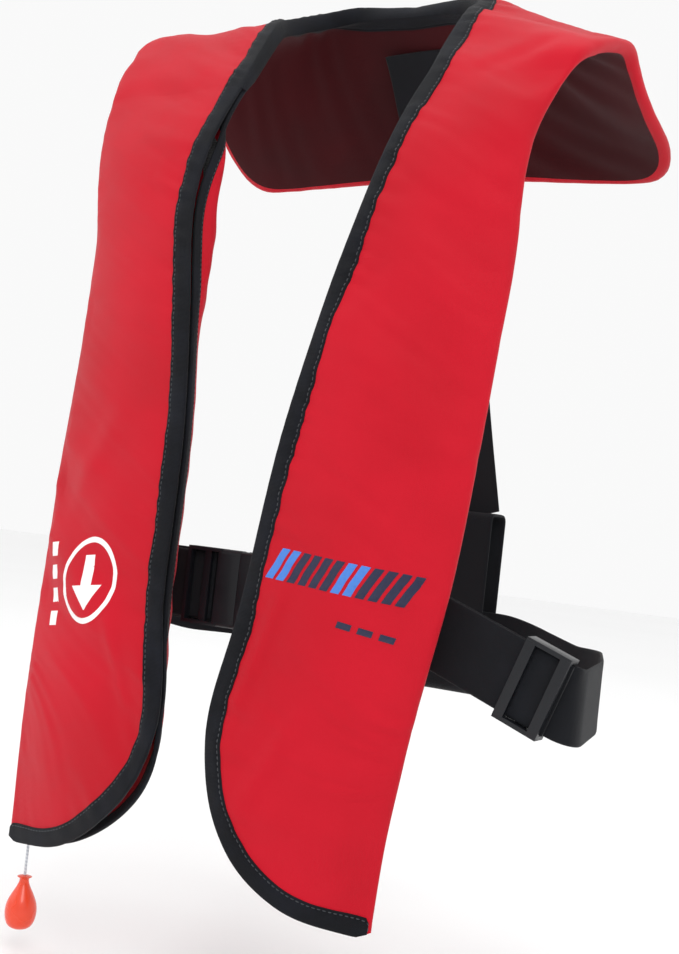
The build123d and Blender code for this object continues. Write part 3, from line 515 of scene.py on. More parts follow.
red_cloth = woven_finish("red_coated_cloth", srgb(180, 12, 30), srgb(200, 18, 40), .0009, .06, .5)

# ---- cover: the lobes and the yoke -----------------------------------------
# The fold round the outer edge and the cloth that faces the wearer carry each row of
# the outer cloth on, so that front, fold and back are one sheet with the yoke.
FOLD_POINTS = 7
# The cloth behind bellies out past its own bound edge, more so below the shoulder.
SIDE_BELLY, TOP_BELLY = {1: .003, -1: .0045}, {1: .0, -1: .0085}
BELLY_CENTRE, BELLY_WIDE, BELLY_EDGE = .07, .07, .025
LINING_RIPPLE, PATCH_REACH, PATCH_LIFT = .0012, .060, .0022
on_yoke = (np.arange(ROWS) >= seam_rows[1]) & (np.arange(ROWS) <= seam_rows[-1])
depth_of_edge = np.where(on_yoke, YOKE_THICK, EDGE_THICK)
for _ in range(40):
    depth_of_edge = np.convolve(np.pad(depth_of_edge, 1, "edge"), [.25, .5, .25], "valid")
flat_normals = outward(flat_skin)
rear = flat_skin - flat_normals * depth_of_edge[:, None, None]
for side, rows in ((1, range(0, seam_rows[1])), (-1, range(seam_rows[-1] + 1, ROWS))):
    for i in rows:
        x, z = flat_skin[i, :, 0], flat_skin[i, :, 2]
        behind = lobe_depth(side, x, z, rear=True)
        u = share_across(side, x, z)
        belly = SIDE_BELLY[side] * soft_step(z, -.55, -.48) + TOP_BELLY[side] * soft_step(z, -.26, -.18)
        belly *= np.exp(-((u - BELLY_CENTRE) / BELLY_WIDE) ** 2) * (1 - np.exp(-u / BELLY_EDGE))
        belly *= soft_step(-z, .09, .13)
        rear[i] = np.stack([x - side * belly, behind + belly * .5, z], -1)
for _ in range(10):
    rear[1:-1] = (rear[:-2] + 2 * rear[1:-1] + rear[2:]) / 4
# The lining lies flat and a little proud of the patch that is sewn to it.
by_patch = np.exp(-np.clip(np.abs(rear[..., 0]) / PATCH_REACH, 0, 3) ** 4) * soft_step(rear[..., 1], .0, .03)
rear += (-LINING_RIPPLE * ripples(across_run, down_grid, 21, .12, .05) * inside * (1 - by_patch)
         + PATCH_LIFT * inside * by_patch)[..., None] * flat_normals
out_dir = skin[:, -1] - skin[:, -2]
out_dir /= np.linalg.norm(out_dir, axis=1, keepdims=True)
half_turn = np.linspace(0, math.pi, FOLD_POINTS + 2)[1:-1]
middle_of_fold = (skin[:, -1] + rear[:, -1]) / 2
across_fold = (skin[:, -1] - rear[:, -1]) / 2
fold_reach = np.linalg.norm(across_fold, axis=1, keepdims=True)
fold = np.stack([middle_of_fold + across_fold * math.cos(a) + out_dir * fold_reach * math.sin(a)
                 for a in half_turn], 1)
wrap = np.concatenate([skin, fold, rear[:, ::-1]], axis=1)
for _ in range(3):
    lo, hi = COLUMNS - 4, COLUMNS + FOLD_POINTS + 4
    wrap[:, lo:hi] = (wrap[:, lo - 1:hi - 1] + 2 * wrap[:, lo:hi] + wrap[:, lo + 1:hi + 1]) / 4
wrap_normals = outward(wrap)
wrap_steps = np.r_["1", np.zeros((ROWS, 1)), np.linalg.norm(np.diff(wrap, axis=1), axis=2)]
wrap_uv = np.stack([np.cumsum(wrap_steps, axis=1), np.repeat(down_run[:, None], wrap.shape[1], 1)], -1)


def height_row(side, z):
    """Row of a lobe whose free edge is nearest a height."""
    rows = range(0, seam_rows[1] + 1) if side > 0 else range(seam_rows[-1], ROWS)
    return min(rows, key=lambda i: abs(skin[i, 0, 2] - z))


def cut(rows, columns):
    """A piece of the wrapped cloth: its points, directions outwards and place in the weave."""
    area = (slice(*rows), slice(*columns))
    return wrap[area], wrap_normals[area], wrap_uv[area]


def lobe_span(side, low, high):
    """Rows of a lobe from a low one to a high one, in the order of the whole cloth."""
    return (low, high + 1) if side > 0 else (high, low + 1)


def flap_hinge(side):
    """Start and end of a short line running in from the top of a flap's hinge."""
    start = Vector((HINGE_X[side][0], HINGE_Y, FLAP_TOP))
    inwards = Vector((LOBE_LOW - FLAP_TOP, 0, HINGE_X[side][0] - HINGE_X[side][1])).normalized() * side
    return start, start + inwards * HINGE_SOFT


FLAP_BLEND_END, HINGE_SOFT, HINGE_Y = -.200, .018, -.09
LOBE_TIP = {1: 0, -1: ROWS - 1}
# Widest and longest of the flat cloth of each half: upper flap, lower flap, back panel.
FLAT_SIZES = {"left": ((.080, .141), (.106, .471), (.172, .606)),
              "right": ((.090, .140), (.119, .478), (.174, .613))}
HINGE_COLUMN = COLUMNS_FLAP
for side, name in ((1, "left"), (-1, "right")):
    top, join = height_row(side, FLAP_TOP), height_row(side, FLAP_BLEND_END)
    upper_rows, lower_rows = lobe_span(side, join, top), lobe_span(side, LOBE_TIP[side], join)
    back_rows, flap_columns = lobe_span(side, LOBE_TIP[side], top), (0, HINGE_COLUMN + 1)
    back_columns = (HINGE_COLUMN, wrap.shape[1])
    hinge_start, hinge_end = flap_hinge(side)
    upper = cloth_piece(f"flap_upper_{name}", *cut(upper_rows, flap_columns), red_cloth)
    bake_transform(upper)
    lower = cloth_piece(f"flap_lower_{name}", *cut(lower_rows, flap_columns), red_cloth)
    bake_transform(lower)
    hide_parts(f"front_flap_{name}")
    shell = cloth_piece(f"lobe_back_{name}", *cut(back_rows, back_columns), red_cloth)
    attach(shell, "jacket")
    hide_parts(f"cover_rear_{name}")
    flat_upper, flat_lower, flat_back = FLAT_SIZES[name]
    for piece, rows, columns, flat, held in (
            (upper, upper_rows, flap_columns, flat_upper, "stretched"),
            (lower, lower_rows, flap_columns, flat_lower, "hung"),
            (shell, back_rows, back_columns, flat_back, "folded")):
        sheet_area(cut(rows, columns)[0])
yoke_rows = (height_row(1, FLAP_TOP), height_row(-1, FLAP_TOP) + 1)
outer_columns, inner_columns = (0, COLUMNS + FOLD_POINTS + 1), (COLUMNS + FOLD_POINTS, wrap.shape[1])
yoke_top = cloth_piece("yoke_outer", *cut(yoke_rows, outer_columns), red_cloth)
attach(yoke_top, "jacket")
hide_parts("cover_yoke")

# The lining's dark colour is mostly painted shade: its red is darkened well below the cloth's own to stand in
# for the shadow under the yoke.
lining_painted_shade = woven_finish("red_lining_painted_shade", srgb(50, 8, 12), srgb(70, 12, 18), .0011, .08, .75)
yoke_under = cloth_piece("yoke_inner", *cut(yoke_rows, inner_columns), lining_painted_shade)
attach(yoke_under, "jacket")
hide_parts("yoke_lining")
sheet_area(cut(yoke_rows, outer_columns)[0])
sheet_area(cut(yoke_rows, inner_columns)[0])

# ---- bound edges -----------------------------------------------------------
# Folded grosgrain tape is sewn over the raw edges: one round the front of each lobe,
# one round the cloth behind it, and a thicker one over both layers of the collar.
BIND_WIDTH, BACK_BIND_WIDTH, BIND_LIFT = .0118, .0055, .0010
STITCH_PITCH, STITCH_LONG, STITCH_THICK = .0034, .0024, .00028
LOBE_EDGE_BULGE, COLLAR_EDGE_BULGE = .0012, .0022


def grosgrain_finish():
    finish, shader, place = new_finish("black_grosgrain", Sheen_Weight=.05, Sheen_Roughness=.5,
                                        Specular_IOR_Level=.12)
    run = weave_place(finish)
    rib = (run.part("Y") * (FULL_TURN / .0008)).sine()
    fuzz = place.noise(600.0, 2.0, .6)
    worn = place.noise(30.0, 3.0, .6).step(.4, .75)
    join_finish(shader, relief=rib * .5 + fuzz, relief_depth=.00018, Roughness=worn * .12 + .62,
                Base_Color=(worn * .6 + fuzz * .3).tint(srgb(10, 11, 15), srgb(27, 29, 37)))
    return finish


def thread_finish(name, dark, light):
    finish, shader, place = new_finish(name, Sheen_Weight=.2)
    strand = (place.part("X") * 9000 + place.part("Z") * 7000 + place.part("Y") * 8000).sine() * .5 + .5
    join_finish(shader, relief=strand, relief_depth=.00008, Base_Color=strand.tint(dark, light),
                Roughness=strand * .1 + .5)
    return finish


black_grosgrain = grosgrain_finish()
black_thread = thread_finish("black_thread", srgb(24, 26, 30), srgb(62, 65, 72))


def point_on_row(row, run, distance):
    return np.stack([np.interp(distance, run, row[:, k]) for k in range(3)], -1)


def tube_mesh(rings):
    """Faces of a run of closed rings, with both ends closed."""
    count, size = rings.shape[:2]
    k = np.arange(count * size).reshape(count, size)
    nxt = np.roll(k, -1, axis=1)
    sides = np.stack([k[:-1], nxt[:-1], nxt[1:], k[1:]], -1).reshape(-1, 4)
    return [list(f) for f in sides] + [list(k[0][::-1]), list(k[-1])]


def stitches(line, lift):
    """Short rounded threads along a line, each sunk at its ends."""
    run = np.r_[0, np.cumsum(np.linalg.norm(np.diff(line, axis=0), axis=1))]
    points, faces = [], []
    for start in np.arange(STITCH_PITCH / 2, run[-1] - STITCH_LONG, STITCH_PITCH):
        ends = start + STITCH_LONG * np.array([0, .2, .8, 1])
        spots = point_on_row(line, run, ends)
        ups = point_on_row(lift, run, ends)
        ahead = spots[-1] - spots[0]
        ahead /= max(np.linalg.norm(ahead), 1e-9)
        ring = []
        for spot, up, high, thick in zip(spots, ups, (-.5, .7, .7, -.5), (.35, 1, 1, .35)):
            across = np.cross(ahead, up)
            for a in np.linspace(0, 2 * math.pi, 6, endpoint=False):
                ring.append(spot + up * STITCH_THICK * high
                            + STITCH_THICK * thick * (across * math.cos(a) * 1.3 + up * math.sin(a)))
        rings = np.array(ring).reshape(4, 6, 3)
        base = len(points)
        faces += [[base + v for v in f] for f in tube_mesh(rings)]
        points += ring
    return points, faces


def recalculated(piece):
    bpy.ops.object.select_all(action="DESELECT")
    piece.select_set(True)
    bpy.context.view_layer.objects.active = piece
    bpy.ops.object.mode_set(mode="EDIT")
    bpy.ops.mesh.select_all(action="SELECT")
    bpy.ops.mesh.normals_make_consistent(inside=False)
    bpy.ops.object.mode_set(mode="OBJECT")
    return piece


def bound_edge(name, outer, outer_up, inner, inner_up, bulge, seed, width=BIND_WIDTH):
    """Tape folded over an edge: outer and inner are rows of points that start at the edge."""
    rows = len(outer)
    edge = outer[:, 0]
    ahead = np.gradient(edge, axis=0)
    ahead /= np.linalg.norm(ahead, axis=1, keepdims=True)
    draw = np.random.default_rng(seed)
    along_edge = np.r_[0, np.cumsum(np.linalg.norm(np.diff(edge, axis=0), axis=1))]
    wobble = sum(np.cos(along_edge / size + draw.uniform(0, 6.28)) for size in (.006, .011, .019, .034)) / 4
    rings, seam, seam_up = [], [], []
    section = [(1, -.3), (.97, .75), (.90, 1.0), (.84, .55), (.78, .95), (.55, 1.15), (.3, 1.1), (.1, 1.05)]
    for i in range(rows):
        sides = []
        for row, up in ((outer[i], outer_up[i]), (inner[i], inner_up[i])):
            run = np.r_[0, np.cumsum(np.linalg.norm(np.diff(row, axis=0), axis=1))]
            lean = (row[min(4, len(row) - 1)] - row[0])
            lean /= max(np.linalg.norm(lean), 1e-9)
            wide = width * (1 + .045 * wobble[i]) / max(np.linalg.norm(np.cross(ahead[i], lean)), .55)
            spots = point_on_row(row, run, np.array([s for s, _ in section]) * wide)
            sides.append([spot + up * lift * BIND_LIFT for spot, (_, lift) in zip(spots, section)])
        out, back = (outer[i, 0] + inner[i, 0]) / 2, (outer[i, 0] - inner[i, 0]) / 2
        half = np.linalg.norm(back) + BIND_LIFT
        away = outer[i, 0] - outer[i, 3]
        away /= max(np.linalg.norm(away), 1e-9)
        back_way = back / max(np.linalg.norm(back), 1e-9)
        turn = [out + back_way * half * math.cos(a) + away * bulge * math.sin(a)
                for a in np.linspace(.35, math.pi - .35, 7)]
        rings.append(sides[0] + turn + sides[1][::-1])
        seam.append(sides[0][3])
        seam_up.append(outer_up[i])
    rings = np.array(rings)
    faces = tube_mesh(rings)
    stitch_points, stitch_faces = stitches(np.array(seam), np.array(seam_up))
    count = rings.shape[0] * rings.shape[1]
    girth = np.r_[0, np.cumsum(np.linalg.norm(np.diff(rings[0], axis=0), axis=1))]
    uv = [(g, run) for run in along_edge for g in girth] + [(0, 0)] * len(stitch_points)
    piece = link_mesh(name, list(rings.reshape(-1, 3)) + stitch_points,
                      faces + [[count + v for v in f] for f in stitch_faces], black_grosgrain, uv)
    piece.data.materials.append(black_thread)
    for face in piece.data.polygons[len(faces):]:
        face.material_index = 1
    return smooth_piece(recalculated(piece), 50)


def front_edge(name, rows, seed):
    area, up = skin[rows[0]:rows[1]], skin_normals[rows[0]:rows[1], 0]
    return bound_edge(name, area, up, area - CLOTH_THICK * up[:, None], -up, LOBE_EDGE_BULGE, seed)


rear_normals = -outward(rear)
for side, name in ((1, "left"), (-1, "right")):
    top, join = height_row(side, FLAP_TOP), height_row(side, FLAP_BLEND_END)
    upper = front_edge(f"front_binding_upper_{name}", lobe_span(side, join, top), 31 + side)
    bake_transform(upper)
    lower = front_edge(f"front_binding_lower_{name}", lobe_span(side, LOBE_TIP[side], join), 41 + side)
    hinge_start, hinge_end = flap_hinge(side)
    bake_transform(lower)
    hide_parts(f"flap_binding_{name}")
    span = slice(*lobe_span(side, LOBE_TIP[side], top))
    area, up = rear[span, :16], rear_normals[span, 0]
    behind = bound_edge(f"back_binding_{name}", area, up, area - CLOTH_THICK * up[:, None], -up,
                        LOBE_EDGE_BULGE, 51 + side, BACK_BIND_WIDTH)
    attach(behind, "jacket")
    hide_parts(f"rear_binding_{name}")
span = slice(height_row(1, FLAP_TOP), height_row(-1, FLAP_TOP) + 1)
collar_edge = bound_edge("collar_binding", skin[span, :16], skin_normals[span, 0], rear[span, :16],
                         -skin_normals[span, 0], COLLAR_EDGE_BULGE, 61)
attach(collar_edge, "jacket")
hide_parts("neck_binding")

# ---- marks on the flaps ----------------------------------------------------
# Satin-stitched slanted bars on the left flap, in two blues, and a white printed
# pull-down arrow in a ring on the right flap.
BAR_COUNT, BAR_START, BAR_END, BAR_TALL, BAR_LEAN = 12, (.0475, -.3985), (.1365, -.4065), .0185, .0095
LIGHT_BARS = (0, 1, 6, 7)
DASHES, DASH_START, DASH_STEP = 3, (.0975, -.4225), (.0125, -.0022)
DASH_WAY, DASH_RISE = (.0085, -.0015), (.0012, .0038)
RING_CENTRE, RING_OUT, RING_IN = (-.0905, -.4165), .0255, .0222
THREAD_LIFT, PRINT_LIFT = .00055, .00022


def on_cloth(x, z, lift):
    """Points just off the lobe's cloth at places in its front view."""
    spots, ups = skin.reshape(-1, 3), skin_normals.reshape(-1, 3)
    near = np.where((spots[:, 2] > z.min() - .02) & (spots[:, 2] < z.max() + .02) & (spots[:, 1] < -.06))[0]
    found = np.zeros((*x.shape, 3))
    for index in np.ndindex(x.shape):
        gap = (spots[near, 0] - x[index]) ** 2 + (spots[near, 2] - z[index]) ** 2
        k = near[int(gap.argmin())]
        n = ups[k]
        y = spots[k, 1] - (n[0] * (x[index] - spots[k, 0]) + n[2] * (z[index] - spots[k, 2])) / n[1]
        found[index] = np.array([x[index], y, z[index]]) + n * lift
    return found


def mark(name, corners, finish, lift, steps=(5, 13)):
    """Raised four-cornered mark on the cloth: corners run low start, low end, high end, high start."""
    u, v = np.meshgrid(np.linspace(0, 1, steps[0]), np.linspace(0, 1, steps[1]))
    a, b, c, d = (np.array(p) for p in corners)
    flat = ((1 - u) * (1 - v))[..., None] * a + (u * (1 - v))[..., None] * b + (u * v)[..., None] * c \
        + ((1 - u) * v)[..., None] * d
    edge = np.minimum(np.minimum(u, 1 - u) * (steps[0] - 1), np.minimum(v, 1 - v) * (steps[1] - 1))
    grid = on_cloth(flat[..., 0], flat[..., 1], lift * .45)
    up = on_cloth(flat[..., 0], flat[..., 1], lift * .45 + .01) - grid
    up /= np.linalg.norm(up, axis=2, keepdims=True)
    grid += up * (np.clip(edge, 0, 1) * lift * .55)[..., None]
    return cloth_piece(name, grid, up, flat, finish, lift * 1.2)


def joined(pieces, name):
    bpy.ops.object.select_all(action="DESELECT")
    for piece in pieces:
        piece.select_set(True)
    bpy.context.view_layer.objects.active = pieces[0]
    bpy.ops.object.join()
    pieces[0].name = pieces[0].data.name = name
    return pieces[0]


def satin_finish(name, dark, light):
    finish, shader, place = new_finish(name, Sheen_Weight=.3, Sheen_Roughness=.3)
    strand = ((place.part("Z") * 1.0 + place.part("X") * .18) * (FULL_TURN / .00055)).sine() * .5 + .5
    uneven = place.noise(700.0, 2.0, .5)
    join_finish(shader, relief=strand + uneven * .6, relief_depth=.00025, Roughness=uneven * .15 + .34,
                Base_Color=(strand * .6 + uneven * .4).tint(dark, light))
    return finish


def print_finish():
    finish, shader, place = new_finish("white_screen_print")
    worn = place.noise(420.0, 3.0, .6)
    join_finish(shader, relief=worn, relief_depth=.00008, Roughness=worn * .15 + .45,
                Base_Color=worn.tint(srgb(226, 222, 222), srgb(250, 249, 248)))
    return finish


light_satin = satin_finish("light_blue_satin", srgb(48, 112, 214), srgb(92, 158, 246))
navy_satin = satin_finish("navy_satin", srgb(14, 18, 44), srgb(36, 42, 84))
white_print = print_finish()
bar_start, bar_end = np.array(BAR_START), np.array(BAR_END)
bar_way = (bar_end - bar_start) / BAR_COUNT
light_bars, navy_bars = [], []
for k in range(BAR_COUNT):
    low = bar_start + bar_way * k
    wide, lean = bar_way * .70, np.array([BAR_LEAN, BAR_TALL])
    bar = mark(f"bar_{k}", (low, low + wide, low + wide + lean, low + lean),
               light_satin if k in LIGHT_BARS else navy_satin, THREAD_LIFT)
    (light_bars if k in LIGHT_BARS else navy_bars).append(bar)
for k in range(DASHES):
    low = np.array(DASH_START) + np.array(DASH_STEP) * k
    wide, lean = np.array(DASH_WAY), np.array(DASH_RISE)
    navy_bars.append(mark(f"dash_{k}", (low, low + wide, low + wide + lean, low + lean), navy_satin,
                          THREAD_LIFT, (9, 5)))
ring_x, ring_z = RING_CENTRE
angle, radius = np.meshgrid(np.linspace(0, 2 * math.pi, 73), np.linspace(RING_OUT, RING_IN, 3))
flat = np.stack([ring_x + radius * np.cos(angle) * .94, ring_z + radius * np.sin(angle) * 1.12], -1)
ring_grid = on_cloth(flat[..., 0], flat[..., 1], PRINT_LIFT)
ring_up = on_cloth(flat[..., 0], flat[..., 1], PRINT_LIFT + .01) - ring_grid
ring_up /= np.linalg.norm(ring_up, axis=2, keepdims=True)
white_marks = [recalculated(cloth_piece("ring", ring_grid, ring_up, flat, white_print, .0003))]
ARROW_TILT = .14
tilt = np.array([[math.cos(ARROW_TILT), -math.sin(ARROW_TILT)], [math.sin(ARROW_TILT), math.cos(ARROW_TILT)]])


def white_mark(name, corners, steps):
    turned_corners = [np.array(RING_CENTRE) + tilt @ np.array(c) for c in corners]
    white_marks.append(mark(name, turned_corners, white_print, PRINT_LIFT, steps))


white_mark("shaft", ((-.0042, -.004), (.0042, -.004), (.0042, .0165), (-.0042, .0165)), (5, 9))
white_mark("head", ((-.0004, -.0195), (.0004, -.0195), (.0125, -.0035), (-.0125, -.0035)), (9, 9))
TICK_LEFT, TICK_RIGHT, TICK_LOW, TICK_TALL, TICK_STEP = -.0425, -.0345, -.029, .0095, .0155
for k in range(4):
    low = TICK_LOW + k * TICK_STEP
    high = low + TICK_TALL
    tick_corners = ((TICK_LEFT, low), (TICK_RIGHT, low), (TICK_RIGHT, high), (TICK_LEFT, high))
    white_mark(f"tick_{k}", tick_corners, (5, 5))
for pieces, name, side in ((light_bars, "light_stitched_bars", 1), (navy_bars, "navy_stitched_bars", 1),
                           (white_marks, "pull_down_mark", -1)):
    piece = joined(pieces, name)
    hinge_start, hinge_end = flap_hinge(side)
    "flap_left" if side > 0 else "flap_right"
    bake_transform(piece)

# ---- webbing ---------------------------------------------------------------
# Black polyester harness webbing, 45 to 48 mm wide and nearly 2 mm thick, with a
# ribbed weave and firm rounded selvedges.
WEB_THICK, WEB_Y, MAIN_Y = .0018, -.073, -.0694
BELT_WIDE, STRAP_WIDE, BELT_Z = .045, .048, -.412
KEEPER_X, KEEPER_WIDE, KEEPER_THICK = .108, .022, .0012
ELASTIC_X, ELASTIC_WIDE, ELASTIC_THICK = -.088, .009, .0010
BELT_PLAN = [(-.056, MAIN_Y), (-.150, MAIN_Y), (-.198, -.025), (-.190, .055), (-.120, .105), (.130, .105),
             (.192, .078), (.222, -.005), (.233, MAIN_Y), (.056, MAIN_Y)]
BELT_BENDS = [.040, .055, .060, .060, .050, .060, .060, .014]
FRONT_SAG = [(-.240, -.428), (-.200, -.425), (-.150, -.416), (-.125, -.412), (.112, -.412), (.140, -.420),
             (.250, -.4596)]
BACK_SAG = [(-.240, -.428), (-.200, -.425), (-.150, -.436), (.110, -.436), (.170, -.450), (.218, -.449),
            (.250, -.459)]


def webbing_finish(name, dark, light):
    finish, shader, place = new_finish(name, Sheen_Weight=.06, Sheen_Roughness=.5, Specular_IOR_Level=.12)
    run = weave_place(finish)
    across, down = run.part("X") * (FULL_TURN / .0022), run.part("Y") * (FULL_TURN / .0013)
    weave = abs((across + down).sine()) * .5 + abs((across - down).sine()) * .5
    fuzz = place.noise(500.0, 2.0, .6)
    worn = place.noise(18.0, 3.0, .6).step(.42, .78)
    join_finish(shader, relief=weave + fuzz * .5, relief_depth=.00022, Roughness=worn * .1 + .62,
                Base_Color=(weave * .35 + worn * .4 + fuzz * .2).tint(dark, light))
    return finish


black_webbing = webbing_finish("black_webbing", srgb(9, 10, 13), srgb(28, 30, 36))


def rounded_path(points, bends):
    """Line of points with each corner turned into a smooth bend."""
    spots = [np.array(p, float) for p in points]
    line = [spots[0]]
    for before, here, after, bend in zip(spots, spots[1:], spots[2:], bends):
        a, b = before - here, after - here
        la, lb = np.linalg.norm(a), np.linalg.norm(b)
        half = math.acos(np.clip(a @ b / la / lb, -1, 1)) / 2
        reach = min(bend / math.tan(half), .48 * la, .48 * lb)
        start, stop = here + a / la * reach, here + b / lb * reach
        line += [(1 - t) ** 2 * start + 2 * t * (1 - t) * here + t * t * stop for t in np.linspace(0, 1, 9)]
    return np.array(line + [spots[-1]])


def webbing(name, centre, wide_way, width, finish=None, thick=WEB_THICK, closed=False, bow=0.0):
    """Strip of webbing along a line, with rounded selvedges."""
    ahead = np.gradient(centre, axis=0)
    if closed:
        ahead = np.roll(centre, -1, 0) - np.roll(centre, 1, 0)
    ahead /= np.linalg.norm(ahead, axis=1, keepdims=True)
    wide = wide_way - (wide_way * ahead).sum(1, keepdims=True) * ahead
    wide /= np.linalg.norm(wide, axis=1, keepdims=True)
    face = np.cross(ahead, wide)
    across = np.r_[-.5, -.494, -.47, np.linspace(-.42, .42, 9), .47, .494, .5]
    lift = np.r_[.12, .38, .5, [.5] * 9, .5, .38, .12]
    edge_ridge = np.r_[0, 0, .06, .05, np.zeros(7), .05, .06, 0, 0]
    ring = list(zip(across, lift + edge_ridge)) + list(zip(across[::-1], -(lift + edge_ridge)[::-1]))
    rings = np.array([[c + w * u * width + f * (v * thick + bow * (1 - 4 * u * u)) for u, v in ring]
                      for c, w, f in zip(centre, wide, face)])
    run = np.r_[0, np.cumsum(np.linalg.norm(np.diff(centre, axis=0), axis=1))]
    uv = [(u * width + (.1 if v < 0 else 0), r) for r in run for u, v in ring]
    faces = tube_mesh(rings)
    if closed:
        size = len(ring)
        k = np.arange(len(rings) * size).reshape(-1, size)
        nxt = np.roll(k, -1, axis=1)
        joint = np.stack([k[-1], nxt[-1], nxt[0], k[0]], -1)
        faces = faces[:-2] + joint.tolist()
    piece = link_mesh(name, rings.reshape(-1, 3), faces, finish or black_webbing, uv)
    return smooth_piece(recalculated(piece), 50)


def belt_height(x, y):
    front, back = (np.interp(x, *zip(*table)) for table in (FRONT_SAG, BACK_SAG))
    return front + (back - front) * soft_step(y, -.055, -.005)


def level_strip(x, y, count=60):
    """Centre line of webbing that follows the belt's hang behind the lobes."""
    xs = np.linspace(*x, count)
    return np.stack([xs, np.full(count, y), np.interp(xs, *zip(*FRONT_SAG))], 1)


def box_path(middle, near, far, high, low, bend):
    """Closed line round a rounded box, from the middle of its top: near side down, far side up."""
    return rounded_path([(middle, high), (near, high), (near, low), (far, low), (far, high), (middle, high)],
                        [bend] * 4)


UPRIGHT, SIDEWAYS = np.array([[0, 0, 1.0]]), np.array([[1.0, 0, 0]])
belt_plan = even_line(rounded_path(BELT_PLAN, BELT_BENDS), 420)
belt_line = np.column_stack([belt_plan, belt_height(belt_plan[:, 0], belt_plan[:, 1])])
for _ in range(8):
    belt_line[1:-1, 2] = (belt_line[:-2, 2] + 2 * belt_line[1:-1, 2] + belt_line[2:, 2]) / 4
main_belt = webbing("main_belt", belt_line, UPRIGHT, BELT_WIDE)
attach(main_belt, "jacket")
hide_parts("waist_belt")

socket_strip = level_strip((.040, .2215), WEB_Y)
short_web = webbing("socket_strip", socket_strip, UPRIGHT, BELT_WIDE)
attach(short_web, "jacket")
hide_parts("socket_webbing")
plug_strip = webbing("plug_strip", level_strip((-.118, -.0245), WEB_Y), UPRIGHT, BELT_WIDE)
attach(plug_strip, "plug")
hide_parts("plug_webbing")

STRAP_BACK = [(0, .0746, -.004), (0, .081, -.0104), (0, .1108, -.0468), (.0065, .1374, -.0864),
              (.026, .131, -.170), (.050, .117, -.268), (.072, .105, -.346)]
strap_line = smooth_line(STRAP_BACK, 130)
back_run = webbing("back_strap_run", strap_line, np.array([[1.0, 0, .18]]), STRAP_WIDE, bow=-.0012)
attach(back_run, "jacket")
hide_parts("back_strap")

LOOP_X, LOOP_Y, LOOP_TOP, LOOP_LOW, LOOP_DEEP = .072, .105, -.342, -.474, .026
y_near, y_far = LOOP_Y - LOOP_DEEP / 2 + WEB_THICK / 2, LOOP_Y + LOOP_DEEP / 2 - WEB_THICK / 2
z_high, z_low = LOOP_TOP - WEB_THICK / 2, LOOP_LOW + WEB_THICK / 2
loop_side = even_line(box_path(LOOP_Y, y_near, y_far, z_high, z_low, .0085), 150)[:-1]
loop_line = np.column_stack([np.full(len(loop_side), LOOP_X), loop_side])
strap_end = webbing("strap_end_loop", loop_line, SIDEWAYS, STRAP_WIDE, closed=True)
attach(strap_end, "jacket")
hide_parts("strap_loop")

for side, name in ((1, "left"), (-1, "right")):
    y_front, y_back, tall = WEB_Y - .0028, MAIN_Y + .0030, BELT_WIDE + .0152
    middle_y, z = (y_front + y_back) / 2, BELT_Z - .003
    ring = even_line(box_path(middle_y, y_front, y_back, z + tall / 2, z - tall / 2, .003), 110)[:-1]
    keeper = webbing(f"belt_keeper_{name}", np.column_stack([np.full(len(ring), side * KEEPER_X), ring]),
                     SIDEWAYS, KEEPER_WIDE, thick=KEEPER_THICK, closed=True)
    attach(keeper, "jacket")
    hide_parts(f"belt_loop_{name}")
y_front, y_back, tall = WEB_Y - .0019, MAIN_Y + .0019, BELT_WIDE + .0030
middle_y = (y_front + y_back) / 2
ring = even_line(box_path(middle_y, y_front, y_back, BELT_Z + tall / 2, BELT_Z - tall / 2, .002), 100)[:-1]
elastic = webbing("elastic_keeper", np.column_stack([np.full(len(ring), ELASTIC_X), ring]),
                  SIDEWAYS, ELASTIC_WIDE, thick=ELASTIC_THICK, closed=True)
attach(elastic, "jacket")
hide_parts("web_keeper")
guard_line = level_strip((-.080, .052), MAIN_Y + .0019)
guard = webbing("buckle_guard", guard_line, UPRIGHT, BELT_WIDE + .003, thick=.0012)
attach(guard, "jacket")
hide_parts("belt_backing")

# ---- buckle and slider -----------------------------------------------------
# Side-release buckle and three-bar slider, moulded in black acetal with softened
# edges, a faint flow grain and a satin face that polishes where it is handled.


def moulded_finish(name, dark, light, rough, grain=.00012, **fixed):
    finish, shader, place = new_finish(name, **fixed)
    pebble = place.noise(1400.0, 2.0, .55)
    flow = place.noise(26.0, 3.0, .6)
    join_finish(shader, relief=pebble, relief_depth=grain, Base_Color=(flow * .7 + pebble * .3).tint(
        dark, light), Roughness=flow.step(.3, .7, rough - .06, rough + .08))
    return finish


black_acetal = moulded_finish("black_acetal", srgb(13, 14, 17), srgb(28, 30, 35), .38, Coat_Weight=.05,
                              Specular_IOR_Level=.28)


def softened(node, name, radius, body, finish, steps=2):
    """Copy of a moulded part with its edges rounded."""
    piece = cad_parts[node].copy()
    piece.data = piece.data.copy()
    piece.name = piece.data.name = name
    for key in list(piece.keys()):
        del piece[key]
    piece.parent = None
    bpy.context.scene.collection.objects.link(piece)
    piece.data.materials.clear()
    piece.data.materials.append(finish)
    bpy.ops.object.select_all(action="DESELECT")
    piece.select_set(True)
    bpy.context.view_layer.objects.active = piece
    bpy.ops.object.mode_set(mode="EDIT")
    bpy.ops.mesh.select_all(action="SELECT")
    bpy.ops.mesh.remove_doubles(threshold=.00002)
    bpy.ops.mesh.dissolve_limited(angle_limit=math.radians(2))
    bpy.ops.object.mode_set(mode="OBJECT")
    edge = piece.modifiers.new("soft_edges", "BEVEL")
    edge.width, edge.segments, edge.limit_method = radius, steps, "ANGLE"
    edge.angle_limit = math.radians(40)
    edge.use_clamp_overlap = True
    bpy.ops.object.modifier_apply(modifier="soft_edges")
    smooth_piece(piece, 35)
    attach(piece, body)
    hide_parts(node)
    return piece


